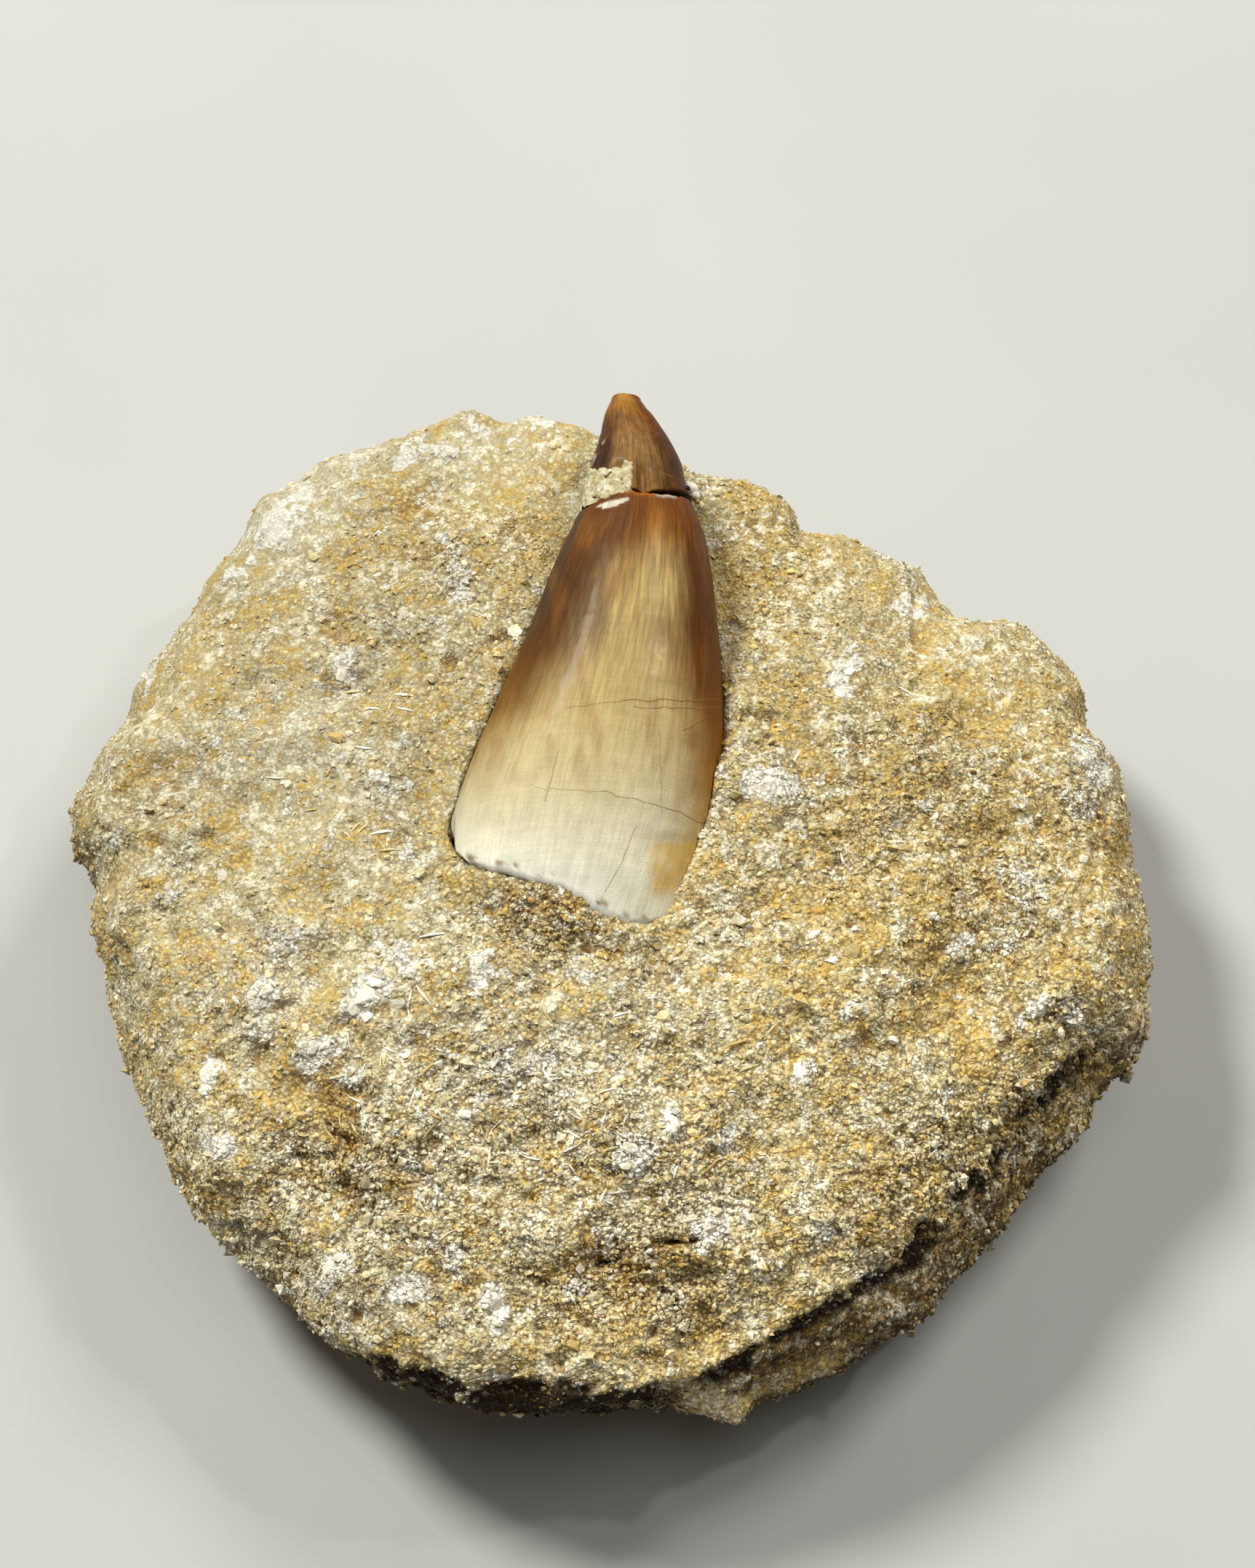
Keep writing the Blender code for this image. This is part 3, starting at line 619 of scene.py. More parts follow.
class Wire:
    """A value that runs from node to node. What is done with it adds the nodes for that."""

    def __init__(self, recipe, node, output=0):
        self.recipe = recipe
        self.socket = node.outputs[output]
        self.is_vector = self.socket.type in ("VECTOR", "RGBA")

    def with_other(self, operation, other):
        way = self.recipe.vector if self.is_vector else self.recipe.math
        return way(operation, self, other)

    def __add__(self, other):
        return self.with_other("ADD", other)

    def __sub__(self, other):
        return self.with_other("SUBTRACT", other)

    def __mul__(self, other):
        return self.with_other("SCALE" if self.is_vector else "MULTIPLY", other)

    def times_plus(self, factor, more):
        return self.recipe.math("MULTIPLY_ADD", self, factor, more)

    def spread(self, low, high, to_low=0.0, to_high=1.0):
        """The value spread so that low gives to_low and high gives to_high, with soft ends."""
        limits = {"From Min": low, "From Max": high, "To Min": to_low, "To Max": to_high}
        node = self.recipe.node("MapRange", Value=self, **limits)
        node.interpolation_type = "SMOOTHSTEP"
        return Wire(self.recipe, node)

    def toward(self, share, colour):
        return self.recipe.mix(share, self, colour)


class Recipe:
    """A node material in the making, with short ways to add the nodes used here."""

    def __init__(self, name):
        self.material = bpy.data.materials.new(name)
        self.material.use_nodes = True
        self.tree = self.material.node_tree
        self.shader = self.tree.nodes["Principled BSDF"]

    def put(self, target, value):
        if isinstance(value, Wire):
            self.tree.links.new(value.socket, target)
        else:
            target.default_value = value

    def node(self, kind, **inputs):
        """A new node, with its inputs given by name as values or wires."""
        node = self.tree.nodes.new("ShaderNode" + kind)
        for name, value in inputs.items():
            self.put(node.inputs[name], value)
        return node

    def attribute(self, name, output="Fac"):
        node = self.node("Attribute")
        node.attribute_name = name
        return Wire(self, node, output)

    def placed(self, vector, scale):
        return Wire(self, self.node("Mapping", Vector=vector, Scale=scale))

    def in_millimetres(self):
        """Object coordinates, counted in millimetres."""
        at = Wire(self, self.node("TexCoord"), "Object")
        return self.placed(at, (1 / MM, 1 / MM, 1 / MM))

    def map(self, name):
        node = self.node("UVMap")
        node.uv_map = name
        return Wire(self, node)

    def noise(self, vector, size, detail=3.0, roughness=0.5, output="Fac"):
        node = self.node("TexNoise", Vector=vector, Scale=1 / size, Detail=detail, Roughness=roughness)
        return Wire(self, node, output)

    def noise_vector(self, vector, size):
        """Noise as a direction, each part of it from -0.5 to 0.5."""
        return self.noise(vector, size, 1.0, output="Color") - (0.5, 0.5, 0.5)

    def cells(self, vector, size):
        """Distance to the middle of the nearest cell, and two random numbers for each cell."""
        node = self.node("TexVoronoi", Vector=vector, Scale=1 / size)
        parts = self.node("SeparateColor", Color=Wire(self, node, "Color"))
        return Wire(self, node, "Distance"), Wire(self, parts, 0), Wire(self, parts, 1)

    def math(self, operation, *values):
        node = self.node("Math")
        node.operation = operation
        for target, value in zip(node.inputs, values):
            self.put(target, value)
        return Wire(self, node)

    def vector(self, operation, first, second, output="Vector"):
        node = self.node("VectorMath")
        node.operation = operation
        self.put(node.inputs[0], first)
        self.put(node.inputs["Scale" if operation == "SCALE" else 1], second)
        return Wire(self, node, output)

    def mix(self, share, first, second):
        node = self.node("Mix")
        node.data_type = "RGBA"
        self.put(node.inputs[0], share)
        colour_inputs = [socket for socket in node.inputs if socket.type == "RGBA"]
        for target, value in zip(colour_inputs, (first, second)):
            self.put(target, value if isinstance(value, Wire) else (*value, 1.0))
        output = next(k for k, socket in enumerate(node.outputs) if socket.type == "RGBA")
        return Wire(self, node, output)

    def line_distance(self, at, start, end):
        """Distance to a straight line between two places of a map."""
        start = Vector((*start, 0))
        run = Vector((*end, 0)) - start
        away = at - start
        share = self.vector("DOT_PRODUCT", away, run, "Value") * (1 / run.length_squared)
        share = self.math("MINIMUM", self.math("MAXIMUM", share, 0.0), 1.0)
        nearest = Wire(self, self.node("CombineXYZ", X=run.x, Y=run.y)) * share
        return self.vector("LENGTH", away - nearest, (0, 0, 0), "Value")

    def finish(self, colour, roughness, relief=None, bump=(0.0, 0.0), **others):
        """The material. bump is the strength and the depth in millimetres that relief is seen with."""
        if relief:
            strength, depth = bump
            node = self.node("Bump", Strength=strength, Distance=depth * MM, Height=relief)
            self.put(self.shader.inputs["Normal"], Wire(self, node))
        for name, value in {"Base Color": colour, "Roughness": roughness, **others}.items():
            self.put(self.shader.inputs[name], value)
        return self.material


def sand_material(name, gaps, bump, specular, roughness):
    """Cemented sand. gaps says how dark the gaps between the grains may be."""
    recipe = Recipe(name)
    straight = recipe.in_millimetres()
    at = straight + recipe.noise_vector(straight, 0.9) * 0.45
    grit, chalky, wall, level = (recipe.attribute(each) for each in ("grit", "chalk", "wall", "level"))
    middle, shade, hue = recipe.cells(at, GRAIN_SIZE)
    fine = recipe.noise(at, 0.16, 2.0, 0.6)
    # Soft blotches, wider than a grain
    region = recipe.noise(straight, 4.5, 3.0, 0.6)
    pale = recipe.noise(at, 1.1, 3.0, 0.6).spread(0.47, 0.60) * 0.95 * region.spread(0.42, 0.56)
    warm = recipe.noise(straight, 0.9, 3.0, 0.65).spread(0.44, 0.58) * 0.95 * region.spread(0.58, 0.40)
    warm = warm * chalky.spread(0.04, 0.22, 1.0, 0.5)
    # Chalk lies in angular flecks over them, and close together in its patches
    ragged = recipe.noise(at, 0.9, 4.0, 0.7).times_plus(1.3, -0.65)
    chalk = (recipe.cells(at, CHALK_SIZE)[1] + chalky * 1.1 + ragged).spread(1.01, 1.11)
    colour = recipe.attribute("sand", "Color")
    for share, other in (
        (pale, PALE_SAND),
        (warm, WARM_SAND),
        (hue.spread(0.76, 0.95) * 0.34, WARM_GRAIN),
        (hue.spread(0.26, 0.05) * 0.4, PALE_GRAIN),
        (chalk * 0.82, CHALK_FACE),
    ):
        colour = colour.toward(share, other)
    # The sand's painted light and shade is laid on. Each grain has its own tone, and is painted lightest in
    # its middle and darker at its edge, as light and shade on its rounded top
    swing = grit.times_plus(0.18, 0.07)
    own = shade.times_plus(2.0, -1.0).times_plus(swing, 1.0)
    colour = colour * level * (own * middle.spread(0.1, 0.6, 1.08, 0.88))
    # Dark gaps between the grains, here and there, and thin crevices that wander: partly dark cement, partly
    # painted shade in them
    gap = middle.spread(0.36, 0.62) * recipe.noise(straight, 0.75, 3.0, 0.6).spread(0.38, 0.56)
    wander = recipe.math("ABSOLUTE", recipe.noise(at, 1.5, 2.0, 0.55) + -0.5)
    crevice = wander.spread(0.0, 0.03, 1.0, 0.0) * grit.spread(0.25, 0.8)
    gap = recipe.math("MAXIMUM", gap, crevice * 0.8) * grit.times_plus(gaps * 1.15, gaps * 0.15)
    colour = colour.toward(recipe.math("MINIMUM", gap, 0.94), GAP_BROWN)
    # Painted shade in the hollows of the shaded walls
    low_place = wall.times_plus(-0.16, recipe.noise(at, 1.4, 4.0, 0.7))
    colour = colour.toward(low_place.spread(0.50, 0.38) * wall * (gaps * 0.3 + 0.6), DEEP_BROWN)
    relief = middle.times_plus(-1.0, fine * 0.45) * grit.times_plus(0.9, 0.25)
    relief = relief - crevice * 0.5 + chalk * 0.5
    others = {"Specular IOR Level": specular}
    return recipe.finish(colour, fine.spread(0.2, 0.8, *roughness), relief, bump, **others)


def shell_material(name, size, roughness, stain=0.4):
    """Shell and coarse grains: each one has its own colour, with fine mottling and a broken surface."""
    recipe = Recipe(name)
    at = recipe.in_millimetres()
    fine = recipe.noise(at, size, 3.0, 0.6)
    broad = recipe.noise(at, size * 4, 2.0, 0.6)
    colour = recipe.attribute("sand", "Color") * fine.spread(0.25, 0.75, 0.80, 1.14)
    colour = colour.toward(broad.spread(0.48, 0.66) * stain, WARM_SAND)
    rough = fine.spread(0.2, 0.8, roughness - 0.1, roughness + 0.1)
    return recipe.finish(colour, rough, fine, (0.6, size * 0.6), **{"Specular IOR Level": 0.3})


def enamel_material(name, streaks, cracks):
    """Satin fossil enamel: streaks along the tooth, and hairline cracks given on the view's map."""
    recipe = Recipe(name)
    grain = recipe.map("grain")
    grain = grain + recipe.noise_vector(recipe.placed(grain, (14.0, 10.0, 1.0)), 1.0) * 0.006
    fine = recipe.noise(recipe.placed(grain, (190.0, 11.0, 1.0)), 1.0, 4.0, 0.7)
    broad = recipe.noise(recipe.placed(grain, (60.0, 5.0, 1.0)), 1.0, 3.0, 0.6)
    rings = recipe.noise(recipe.placed(grain, (6.0, 120.0, 1.0)), 1.0, 3.0, 0.6)
    cloud = recipe.noise(recipe.in_millimetres(), 2.2, 3.0, 0.5)
    grit = recipe.noise(recipe.in_millimetres(), 0.16, 2.0, 0.6)
    shade = fine.spread(0.3, 0.7, 1 - 0.38 * streaks, 1 + 0.24 * streaks)
    shade = shade * broad.spread(0.3, 0.7, 1 - 0.13 * streaks, 1 + 0.11 * streaks)
    # The streaks fade towards the base
    seen = recipe.map("seen")
    height = Wire(recipe, recipe.node("SeparateXYZ", Vector=seen), 1)
    shade = recipe.mix(height.spread(0.10, 0.36, 0.3, 1.0), (1.0, 1.0, 1.0), shade)
    for layer, low, high in ((rings, 0.965, 1.03), (grit, 0.95, 1.04), (cloud, 0.95, 1.04)):
        shade = recipe.math("MULTIPLY", shade, layer.spread(0.3, 0.7, low, high))
    shade = shade * ENAMEL_SHARE
    wobble = recipe.noise(recipe.placed(seen, (VIEW_MAP, VIEW_MAP, 1.0)), 1.4, 2.0)
    offset = recipe.node("CombineXYZ", X=wobble.times_plus(0.5, -0.25), Y=wobble.times_plus(0.6, -0.3))
    at = seen * VIEW_MAP + Wire(recipe, offset)
    crack = 0.0
    for start, end, width, depth in cracks:
        line = recipe.line_distance(at, start, end).spread(width * 0.4, width, depth, 0.0)
        crack = recipe.math("MAXIMUM", crack, line)
    colour = (recipe.attribute("enamel", "Color") * shade).toward(crack, CRACK_COLOUR)
    relief = fine.times_plus(0.45, grit * 0.5) - crack
    gloss = {"Specular IOR Level": 0.10, "Coat Weight": 0.03, "Coat Roughness": 0.13}
    return recipe.finish(colour, broad.spread(0.2, 0.8, 0.40, 0.54), relief, (0.8, 0.07), **gloss)


def filler_material():
    recipe = Recipe("filler_cream")
    at = recipe.in_millimetres()
    gap, each, _ = recipe.cells(at, 0.36)
    fine = recipe.noise(at, 0.16, 3.0, 0.6)
    broad = recipe.noise(at, 0.8, 4.0, 0.7)
    shade = gap.spread(0.2, 0.8, 1.04, 0.84) * each.spread(0.0, 1.0, 0.88, 1.06)
    colour = recipe.attribute("sand", "Color") * shade
    colour = colour.toward(broad.spread(0.50, 0.62, 0.0, 0.7), FILLER_STAIN)
    colour = colour.toward(broad.spread(0.46, 0.36, 0.0, 0.7), FILLER_WHITE)
    return recipe.finish(colour, fine.spread(0.2, 0.8, 0.7, 0.95), fine - gap, (0.5, 0.08))


def floor_material():
    recipe = Recipe("floor_pale")
    cloud = recipe.noise(recipe.in_millimetres(), 60.0, 3.0, 0.5)
    colour = recipe.mix(cloud.spread(0.3, 0.7), *FLOOR_TONES)
    return recipe.finish(colour, cloud.spread(0.3, 0.7, 0.7, 0.8))


# The tooth's form


def melted(grid, passes):
    """A grid of values smoothed along both ways. Its columns go round."""
    for _ in range(passes):
        ends = np.concatenate([grid[:1], grid, grid[-1:]])
        grid = (ends[:-2] + 2 * ends[1:-1] + ends[2:]) / 4
        grid = (np.roll(grid, 1, axis=1) + 2 * grid + np.roll(grid, -1, axis=1)) / 4
    return grid


class ToothForm:
    """The tooth's axis and half widths along Y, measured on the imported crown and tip."""

    def __init__(self):
        tree = search_tree("tooth_crown", "tooth_tip", "break_filler")
        rows = []
        x, z = FORM_AXIS
        for y in np.arange(FORM_START, FORM_END, FORM_STEP):
            if BREAK_NEAR < y < BREAK_FAR:
                continue
            for _ in range(3):
                left = tree.ray_cast((-FAR_AWAY, y, z), (1, 0, 0))[0]
                right = tree.ray_cast((FAR_AWAY, y, z), (-1, 0, 0))[0]
                if left is None or right is None:
                    break
                x = (left.x + right.x) / 2
                top = tree.ray_cast((x, y, FAR_AWAY), (0, 0, -1))[0]
                low = tree.ray_cast((x, y, -FAR_AWAY), (0, 0, 1))[0]
                if top is None or low is None:
                    break
                z = (top.z + low.z) / 2
            else:
                rows.append((y, x, z, (right.x - left.x) / 2, (top.z - low.z) / 2))
        self.rows = np.array(rows)

    def placed(self, y, angle, reach, lift=0.0):
        """Points at shares of the half widths, lifted off the surface by some millimetres."""
        x_mid, z_mid, wide, tall = self.at(y)
        x = x_mid + (wide * reach + lift) * np.cos(angle)
        z = z_mid + (tall * reach + lift) * np.sin(angle)
        return np.column_stack([x, y, z])

    def at(self, y):
        """Middle x and z, half width and half height at each y, in a straight line past the ends."""
        y = np.asarray(y, dtype=float)
        found = []
        for column in self.rows.T[1:]:
            value = np.interp(y, self.rows[:, 0], column)
            slope = (column[6] - column[0]) / (self.rows[6, 0] - self.rows[0, 0])
            found.append(value + np.minimum(y - self.rows[0, 0], 0) * slope)
        return found

    def ray(self, y, angle):
        x, z, wide, tall = (float(v) for v in self.at(y))
        way = Vector((wide * math.cos(angle), 0, tall * math.sin(angle)))
        return Vector((x, y, z)), way

    def reach(self, tree, y, angle):
        """How far a surface lies from the axis, as a share of the half widths, or None past its end."""
        middle, way = self.ray(y, angle)
        hit, normal, _, distance = tree.ray_cast(middle + way * 2, -way.normalized())
        if hit is None or normal.dot(way.normalized()) < LEAST_FACING:
            return None
        share = 2 - distance / way.length
        return share if share > LEAST_REACH else None

    def edge(self, tree, angle, inside, outside):
        """The y where a surface ends at an angle, between a y that is on it and one that is past it."""
        for _ in range(EDGE_HALVINGS):
            middle = (inside + outside) / 2
            if self.reach(tree, middle, angle) is None:
                outside = middle
            else:
                inside = middle
        return inside


def resampled(values, count):
    """Values round a circle, read at another number of places."""
    at = np.arange(count) / count * len(values)
    return np.interp(at, np.arange(len(values) + 1), np.append(values, values[0]))


class Loft:
    """A dense, smooth surface along part of the tooth, between two edges given as y by angle."""

    def __init__(self, form, tree, span, stations, passes):
        near, far = span
        lengthwise = max(12, stations // 2)
        angles = np.arange(COARSE_AROUND) * 2 * math.pi / COARSE_AROUND
        inside = (near + far) / 2
        low = np.array([form.edge(tree, a, inside, near) for a in angles])
        high = np.array([form.edge(tree, a, inside, far) for a in angles])
        share = np.linspace(0, 1, lengthwise)
        reach = np.ones((lengthwise, COARSE_AROUND))
        for row, s in enumerate(share):
            for column, angle in enumerate(angles):
                inset = min(max(s, EDGE_INSET), 1 - EDGE_INSET)
                y = low[column] + (high[column] - low[column]) * inset
                found = form.reach(tree, y, angle)
                reach[row, column] = reach[row - 1, column] if found is None else found
        reach = melted(reach, passes)
        self.low = resampled(melted(low[None, :], 2)[0], TOOTH_AROUND)
        self.high = resampled(melted(high[None, :], 2)[0], TOOTH_AROUND)
        self.share = np.linspace(0, 1, stations)
        self.angles = np.arange(TOOTH_AROUND) * 2 * math.pi / TOOTH_AROUND
        rows = np.stack([resampled(row, TOOTH_AROUND) for row in reach])
        dense = np.stack([np.interp(self.share, share, column) for column in rows.T], axis=1)
        self.reach = melted(dense, 2)
        self.form = form

    def places(self, low, high, swell=0.0):
        """Points of the surface, row by row, and their y. swell is added to the reach."""
        y = low[None, :] + (high - low)[None, :] * self.share[:, None]
        angle = np.tile(self.angles, len(self.share))
        return self.form.placed(y.ravel(), angle, (self.reach + swell).ravel()), y

    def edge_at(self, angles):
        """Where the surface starts, at any angles."""
        return np.interp(angles, self.angles, self.low)

    def reach_at(self, angle, y):
        """The reach at any angles and y, held at its last value past the ends."""
        low = np.interp(angle, self.angles, self.low)
        high = np.interp(angle, self.angles, self.high)
        row = np.clip((y - low) / (high - low), 0, 1) * (len(self.share) - 1.001)
        column = angle / (2 * math.pi) * len(self.angles)
        r, c = row.astype(int), column.astype(int) % len(self.angles)
        next_c = (c + 1) % len(self.angles)
        down, along = row - r, column % 1
        near = self.reach[r, c] * (1 - along) + self.reach[r, next_c] * along
        far = self.reach[r + 1, c] * (1 - along) + self.reach[r + 1, next_c] * along
        return near * (1 - down) + far * down


def lattice_triangles(rows, columns, closed=True):
    """Triangles of a grid. closed says that its columns go round."""
    across = np.arange(columns if closed else columns - 1)
    row, column = np.meshgrid(np.arange(rows - 1), across, indexing="ij")
    a = (row * columns + column).ravel()
    b = (row * columns + (column + 1) % columns).ravel()
    halves = (a, b, b + columns), (a, b + columns, a + columns)
    return np.concatenate([np.column_stack(half) for half in halves])


def closed_ends(points, rows, columns, start_depth, end_depth, rings, seed):
    """Broken faces on both ends of a tube: rings that close on the middle, uneven along Y."""
    triangles = [lattice_triangles(rows, columns)]
    parts = [points]
    total = len(points)
    after = np.roll(np.arange(columns), -1)
    for rim_row, depth, flipped in ((0, start_depth, True), (rows - 1, end_depth, False)):
        before = rim_row * columns + np.arange(columns)
        rim = points[before]
        middle = rim.mean(axis=0) + (0, depth, 0)
        for ring in range(1, rings + 1):
            share = ring / (rings + 1)
            inner = rim + (middle - rim) * share
            uneven = END_UNEVEN * math.sin(math.pi * min(share * 2, 1) / 2)
            inner[:, 1] += uneven * waves(inner, 1.6, seed)
            numbers = total + np.arange(columns)
            halves = (before, before[after], numbers[after]), (before, numbers[after], numbers)
            pair = np.concatenate([np.column_stack(half) for half in halves])
            triangles.append(pair[:, ::-1] if flipped else pair)
            parts.append(inner)
            total += columns
            before = numbers
        parts.append(middle[None, :])
        fan = np.column_stack([before, before[after], np.full(columns, total)])
        triangles.append(fan[:, ::-1] if flipped else fan)
        total += 1
    return np.concatenate(parts), np.concatenate(triangles)


def blend_rows(rows, at):
    """Colours of a table whose rows are (up, red, green, blue), read at each height of the view."""
    rows = sorted(rows)
    keys = [row[0] for row in rows]
    colours = np.array([tone(*row[1:]) for row in rows])
    return np.stack([np.interp(at, keys, colours[:, k]) for k in range(3)], axis=1)


def blend_values(rows, at):
    rows = sorted(rows)
    return np.interp(at, [row[0] for row in rows], [row[1] for row in rows])


def crown_colours(points, across, from_base, to_break):
    """The enamel's colour: dark flanks, partly their own brown and partly painted shade, a pale window
    between them, ivory at the base. The upper left facet gets a strip of painted shade, and the very left
    edge a painted sheen.
    """
    seen = in_view_plane(points)
    right, up = seen[:, 0], seen[:, 1]
    jagged = 0.12 * waves(points * (1, 0.10, 1), 0.45, 21) + 0.14 * waves(points * (1, 0.2, 1), 1.6, 22)
    jagged *= 0.4 + 0.6 * sharpened(up, 16, 30)
    lifted = up + 0.9 * waves(points * (1, 0.1, 1), 0.9, 23)
    left = sharpened(blend_values(LEFT_EDGE, up) - across + jagged, -0.38, 0.42)
    # A strip of painted shade on the upper left facet, and a painted sheen along the very left edge
    facet_shade = sharpened(-across - 0.74, 0.0, 0.06) * sharpened(up, 25, 30)
    thin = sharpened(-across - 0.95, 0.0, 0.03) * sharpened(31 - up, 0, 3) * sharpened(up - 20, 0, 2)
    side = sharpened(across - blend_values(RIGHT_EDGE, up) + jagged, -0.2, 0.24)
    rusty = sharpened(waves(points * (1, 0.22, 1), 1.3, 28), 0.05, 0.5) * sharpened(up - 10, 0, 6)
    amber = sharpened(right - 2.8, 0, 1.6) * sharpened(7.3 - up, -0.2, 0.5) * sharpened(up - 1.3, 0, 2.0)
    olive = sharpened(right - 1.5, 0, 3.0) * peak(up - 7.7, 0.45)
    strip = depth_inside(seen + 0.12 * waves(points, 0.4, 26)[:, None], STRIP_OUTLINE)
    # The rim of the base is worn white, and made lighter still as painted light where its rounded edge turns
    # from the lamps. The rim at the break is rusty, with a pale stretch that is partly a painted highlight on
    # its edge
    whitish = peak(from_base, 3.0) * sharpened(4.0 - right, 0, 6.0)
    rim = peak(from_base, 0.6) * sharpened(6.5 - right, 0, 1.5)
    rust_edge = peak(to_break, 0.35) * sharpened(right, 0.8, 1.6) * sharpened(4.2 - right, 0, 0.7)
    pale_edge_and_highlight = peak(to_break - 0.25, 0.16) * sharpened(right, 3.8, 4.4) * sharpened(6.2 - right, 0, 0.6)
    dirt = sharpened(waves(points, 0.9, 24), 0.22, 0.4) * peak(from_base - 0.75, 0.3)
    colour = blend_rows(WINDOW_TONES, lifted)
    for share, other in (
        (left, blend_rows(LEFT_TONES, lifted)),
        (facet_shade * 0.75, FACET_SHADE),
        (thin * 0.6, EDGE_SHEEN),
        (side, blend_rows(RIGHT_TONES, lifted)),
        (rusty * 0.34, RUST),
        (amber * (0.7 + 0.3 * waves(points, 1.1, 25)), AMBER),
        (olive * 0.35, OLIVE),
        (sharpened(strip, 0.0, 0.15) * 0.9, FILLER_WHITE),
        (whitish * 0.6, BASE_WHITE),
        (rim * 0.85, RIM_WHITE),
        (rust_edge * 0.9, RUST_EDGE),
        (pale_edge_and_highlight * 0.5, RIM_WHITE),
        (dirt * 0.75, RIM_DIRT),
    ):
        colour = toward(colour, share, other)
    for at_right, at_up, size in RIM_SPECKS:
        speck = np.exp(-(((right - at_right) ** 2 + (up - at_up) ** 2) / size**2))
        colour = toward(colour, speck * 0.9, DARK)
    return np.clip(colour, 0.004, 1)


def tip_colours(points, across):
    up = in_view_plane(points)[:, 1]
    jagged = 0.18 * waves(points * (1, 0.25, 1), 0.8, 31)
    lifted = up + 0.8 * waves(points, 1.2, 32)
    side = sharpened(across - 0.35 + jagged, -0.15, 0.35)
    left = sharpened(-across - 0.45 + jagged, -0.1, 0.25)
    colour = toward(blend_rows(TIP_TONES, lifted), side, blend_rows(TIP_RIGHT_TONES, lifted))
    colour = toward(colour, left, blend_rows(TIP_LEFT_TONES, lifted))
    crackle = 0.34 * waves(points * (1, 0.7, 1), 0.55, 34) + 0.24 * waves(points * (1, 0.7, 1), 0.3, 35)
    colour *= (1 + crackle * sharpened(48.0 - up, 0, 1.5))[:, None]
    # Pale specks painted on the tip's left flank as glints
    specks = sharpened(waves(points, 0.8, 33), 0.25, 0.4) * sharpened(-across - 0.7, 0, 0.1)
    colour = toward(colour, specks * 0.6 * sharpened(45.5 - up, 0, 1), TIP_GLINTS)
    return np.clip(colour, 0.004, 1)


def map_enamel(mesh, points, triangles, around, along):
    """Two maps of the enamel: round and along the tooth, and the view plane."""
    corners = triangles.ravel()
    seen = in_view_plane(points) / VIEW_MAP
    for name, pairs in (("grain", np.column_stack([around, along / GRAIN_MAP])), ("seen", seen)):
        layer = mesh.uv_layers.new(name=name, do_init=False)
        layer.uv.foreach_set("vector", pairs[corners].astype(np.float32).ravel())


def enamel_piece(name, loft, points, ends, faces, colours, material, replaced):
    """The enamel over a loft. faces are the colours of the broken face at its start and at its end."""
    rows = len(loft.share)
    mesh_points, triangles = closed_ends(points, rows, len(loft.angles), *ends)
    extra = len(mesh_points) - len(points)
    mesh = make_mesh(name, mesh_points, triangles)
    padded = [colours] + [np.tile(face, (extra // 2, 1)) for face in faces]
    store(mesh, enamel=np.concatenate(padded))
    # The seam of the map lies on the buried underside
    angle = (np.tile(loft.angles / (2 * math.pi), rows) + 0.25) % 1.0
    around = np.concatenate([angle, np.zeros(extra)])
    map_enamel(mesh, mesh_points, triangles, around, mesh_points[:, 1])
    return add_piece(name, mesh, material, replaced)


def ring_of(angles, half_width, half_height):
    """Points round the tooth, which the unevenness of its edges is read at."""
    return np.column_stack([np.cos(angles) * half_width, np.zeros(len(angles)), np.sin(angles) * half_height])


def build_crown(form):
    loft = Loft(form, search_tree("tooth_crown"), CROWN_SPAN, CROWN_STATIONS, 5)
    angles = loft.angles
    ring = ring_of(angles, 12, 8)
    low = loft.low + 0.22 * waves(ring, 1.3, 41) + 0.12 * waves(ring, 0.6, 42)
    low -= CORNER_REACH * peak(angles - CORNER_ANGLE, CORNER_WIDTH)
    high = loft.high + 0.20 * waves(ring, 1.1, 43) + 0.08 * waves(ring, 0.5, 44)
    points, y = loft.places(low, high)
    from_base = (y - low[None, :]).ravel()
    to_break = (high[None, :] - y).ravel()
    angle = np.tile(angles, len(loft.share))
    ridges = 0.0022 * np.cos(angle * 13) + 0.0012 * np.cos(angle * 29 + 1)
    lip = -0.05 * peak(from_base, 0.25) - 0.04 * peak(to_break, 0.15)
    dents = 0.004 * waves(points, 1.5, 45) + 0.006 * waves(points, 3.4, 47)
    swell = (ridges + lip + dents).reshape(loft.reach.shape)
    points, _ = loft.places(low, high, swell)
    colours = crown_colours(points, np.cos(angle), from_base, to_break)
    material = enamel_material("crown_enamel", 1.0, CROWN_CRACKS)
    ends = (-0.4, 0.1, 5, 46)
    faces = (BROKEN_FACE, BREAK_SHADE)
    enamel_piece("crown_enamel", loft, points, ends, faces, colours, material, ["tooth_crown"])
    rim = (from_base < 0.01) & (np.sin(angle) > -0.2)
    corner = (points[:, 1] < 10.5) & (np.cos(angle) < -0.97) & (np.sin(angle) > -0.05)
    return points[rim | corner]


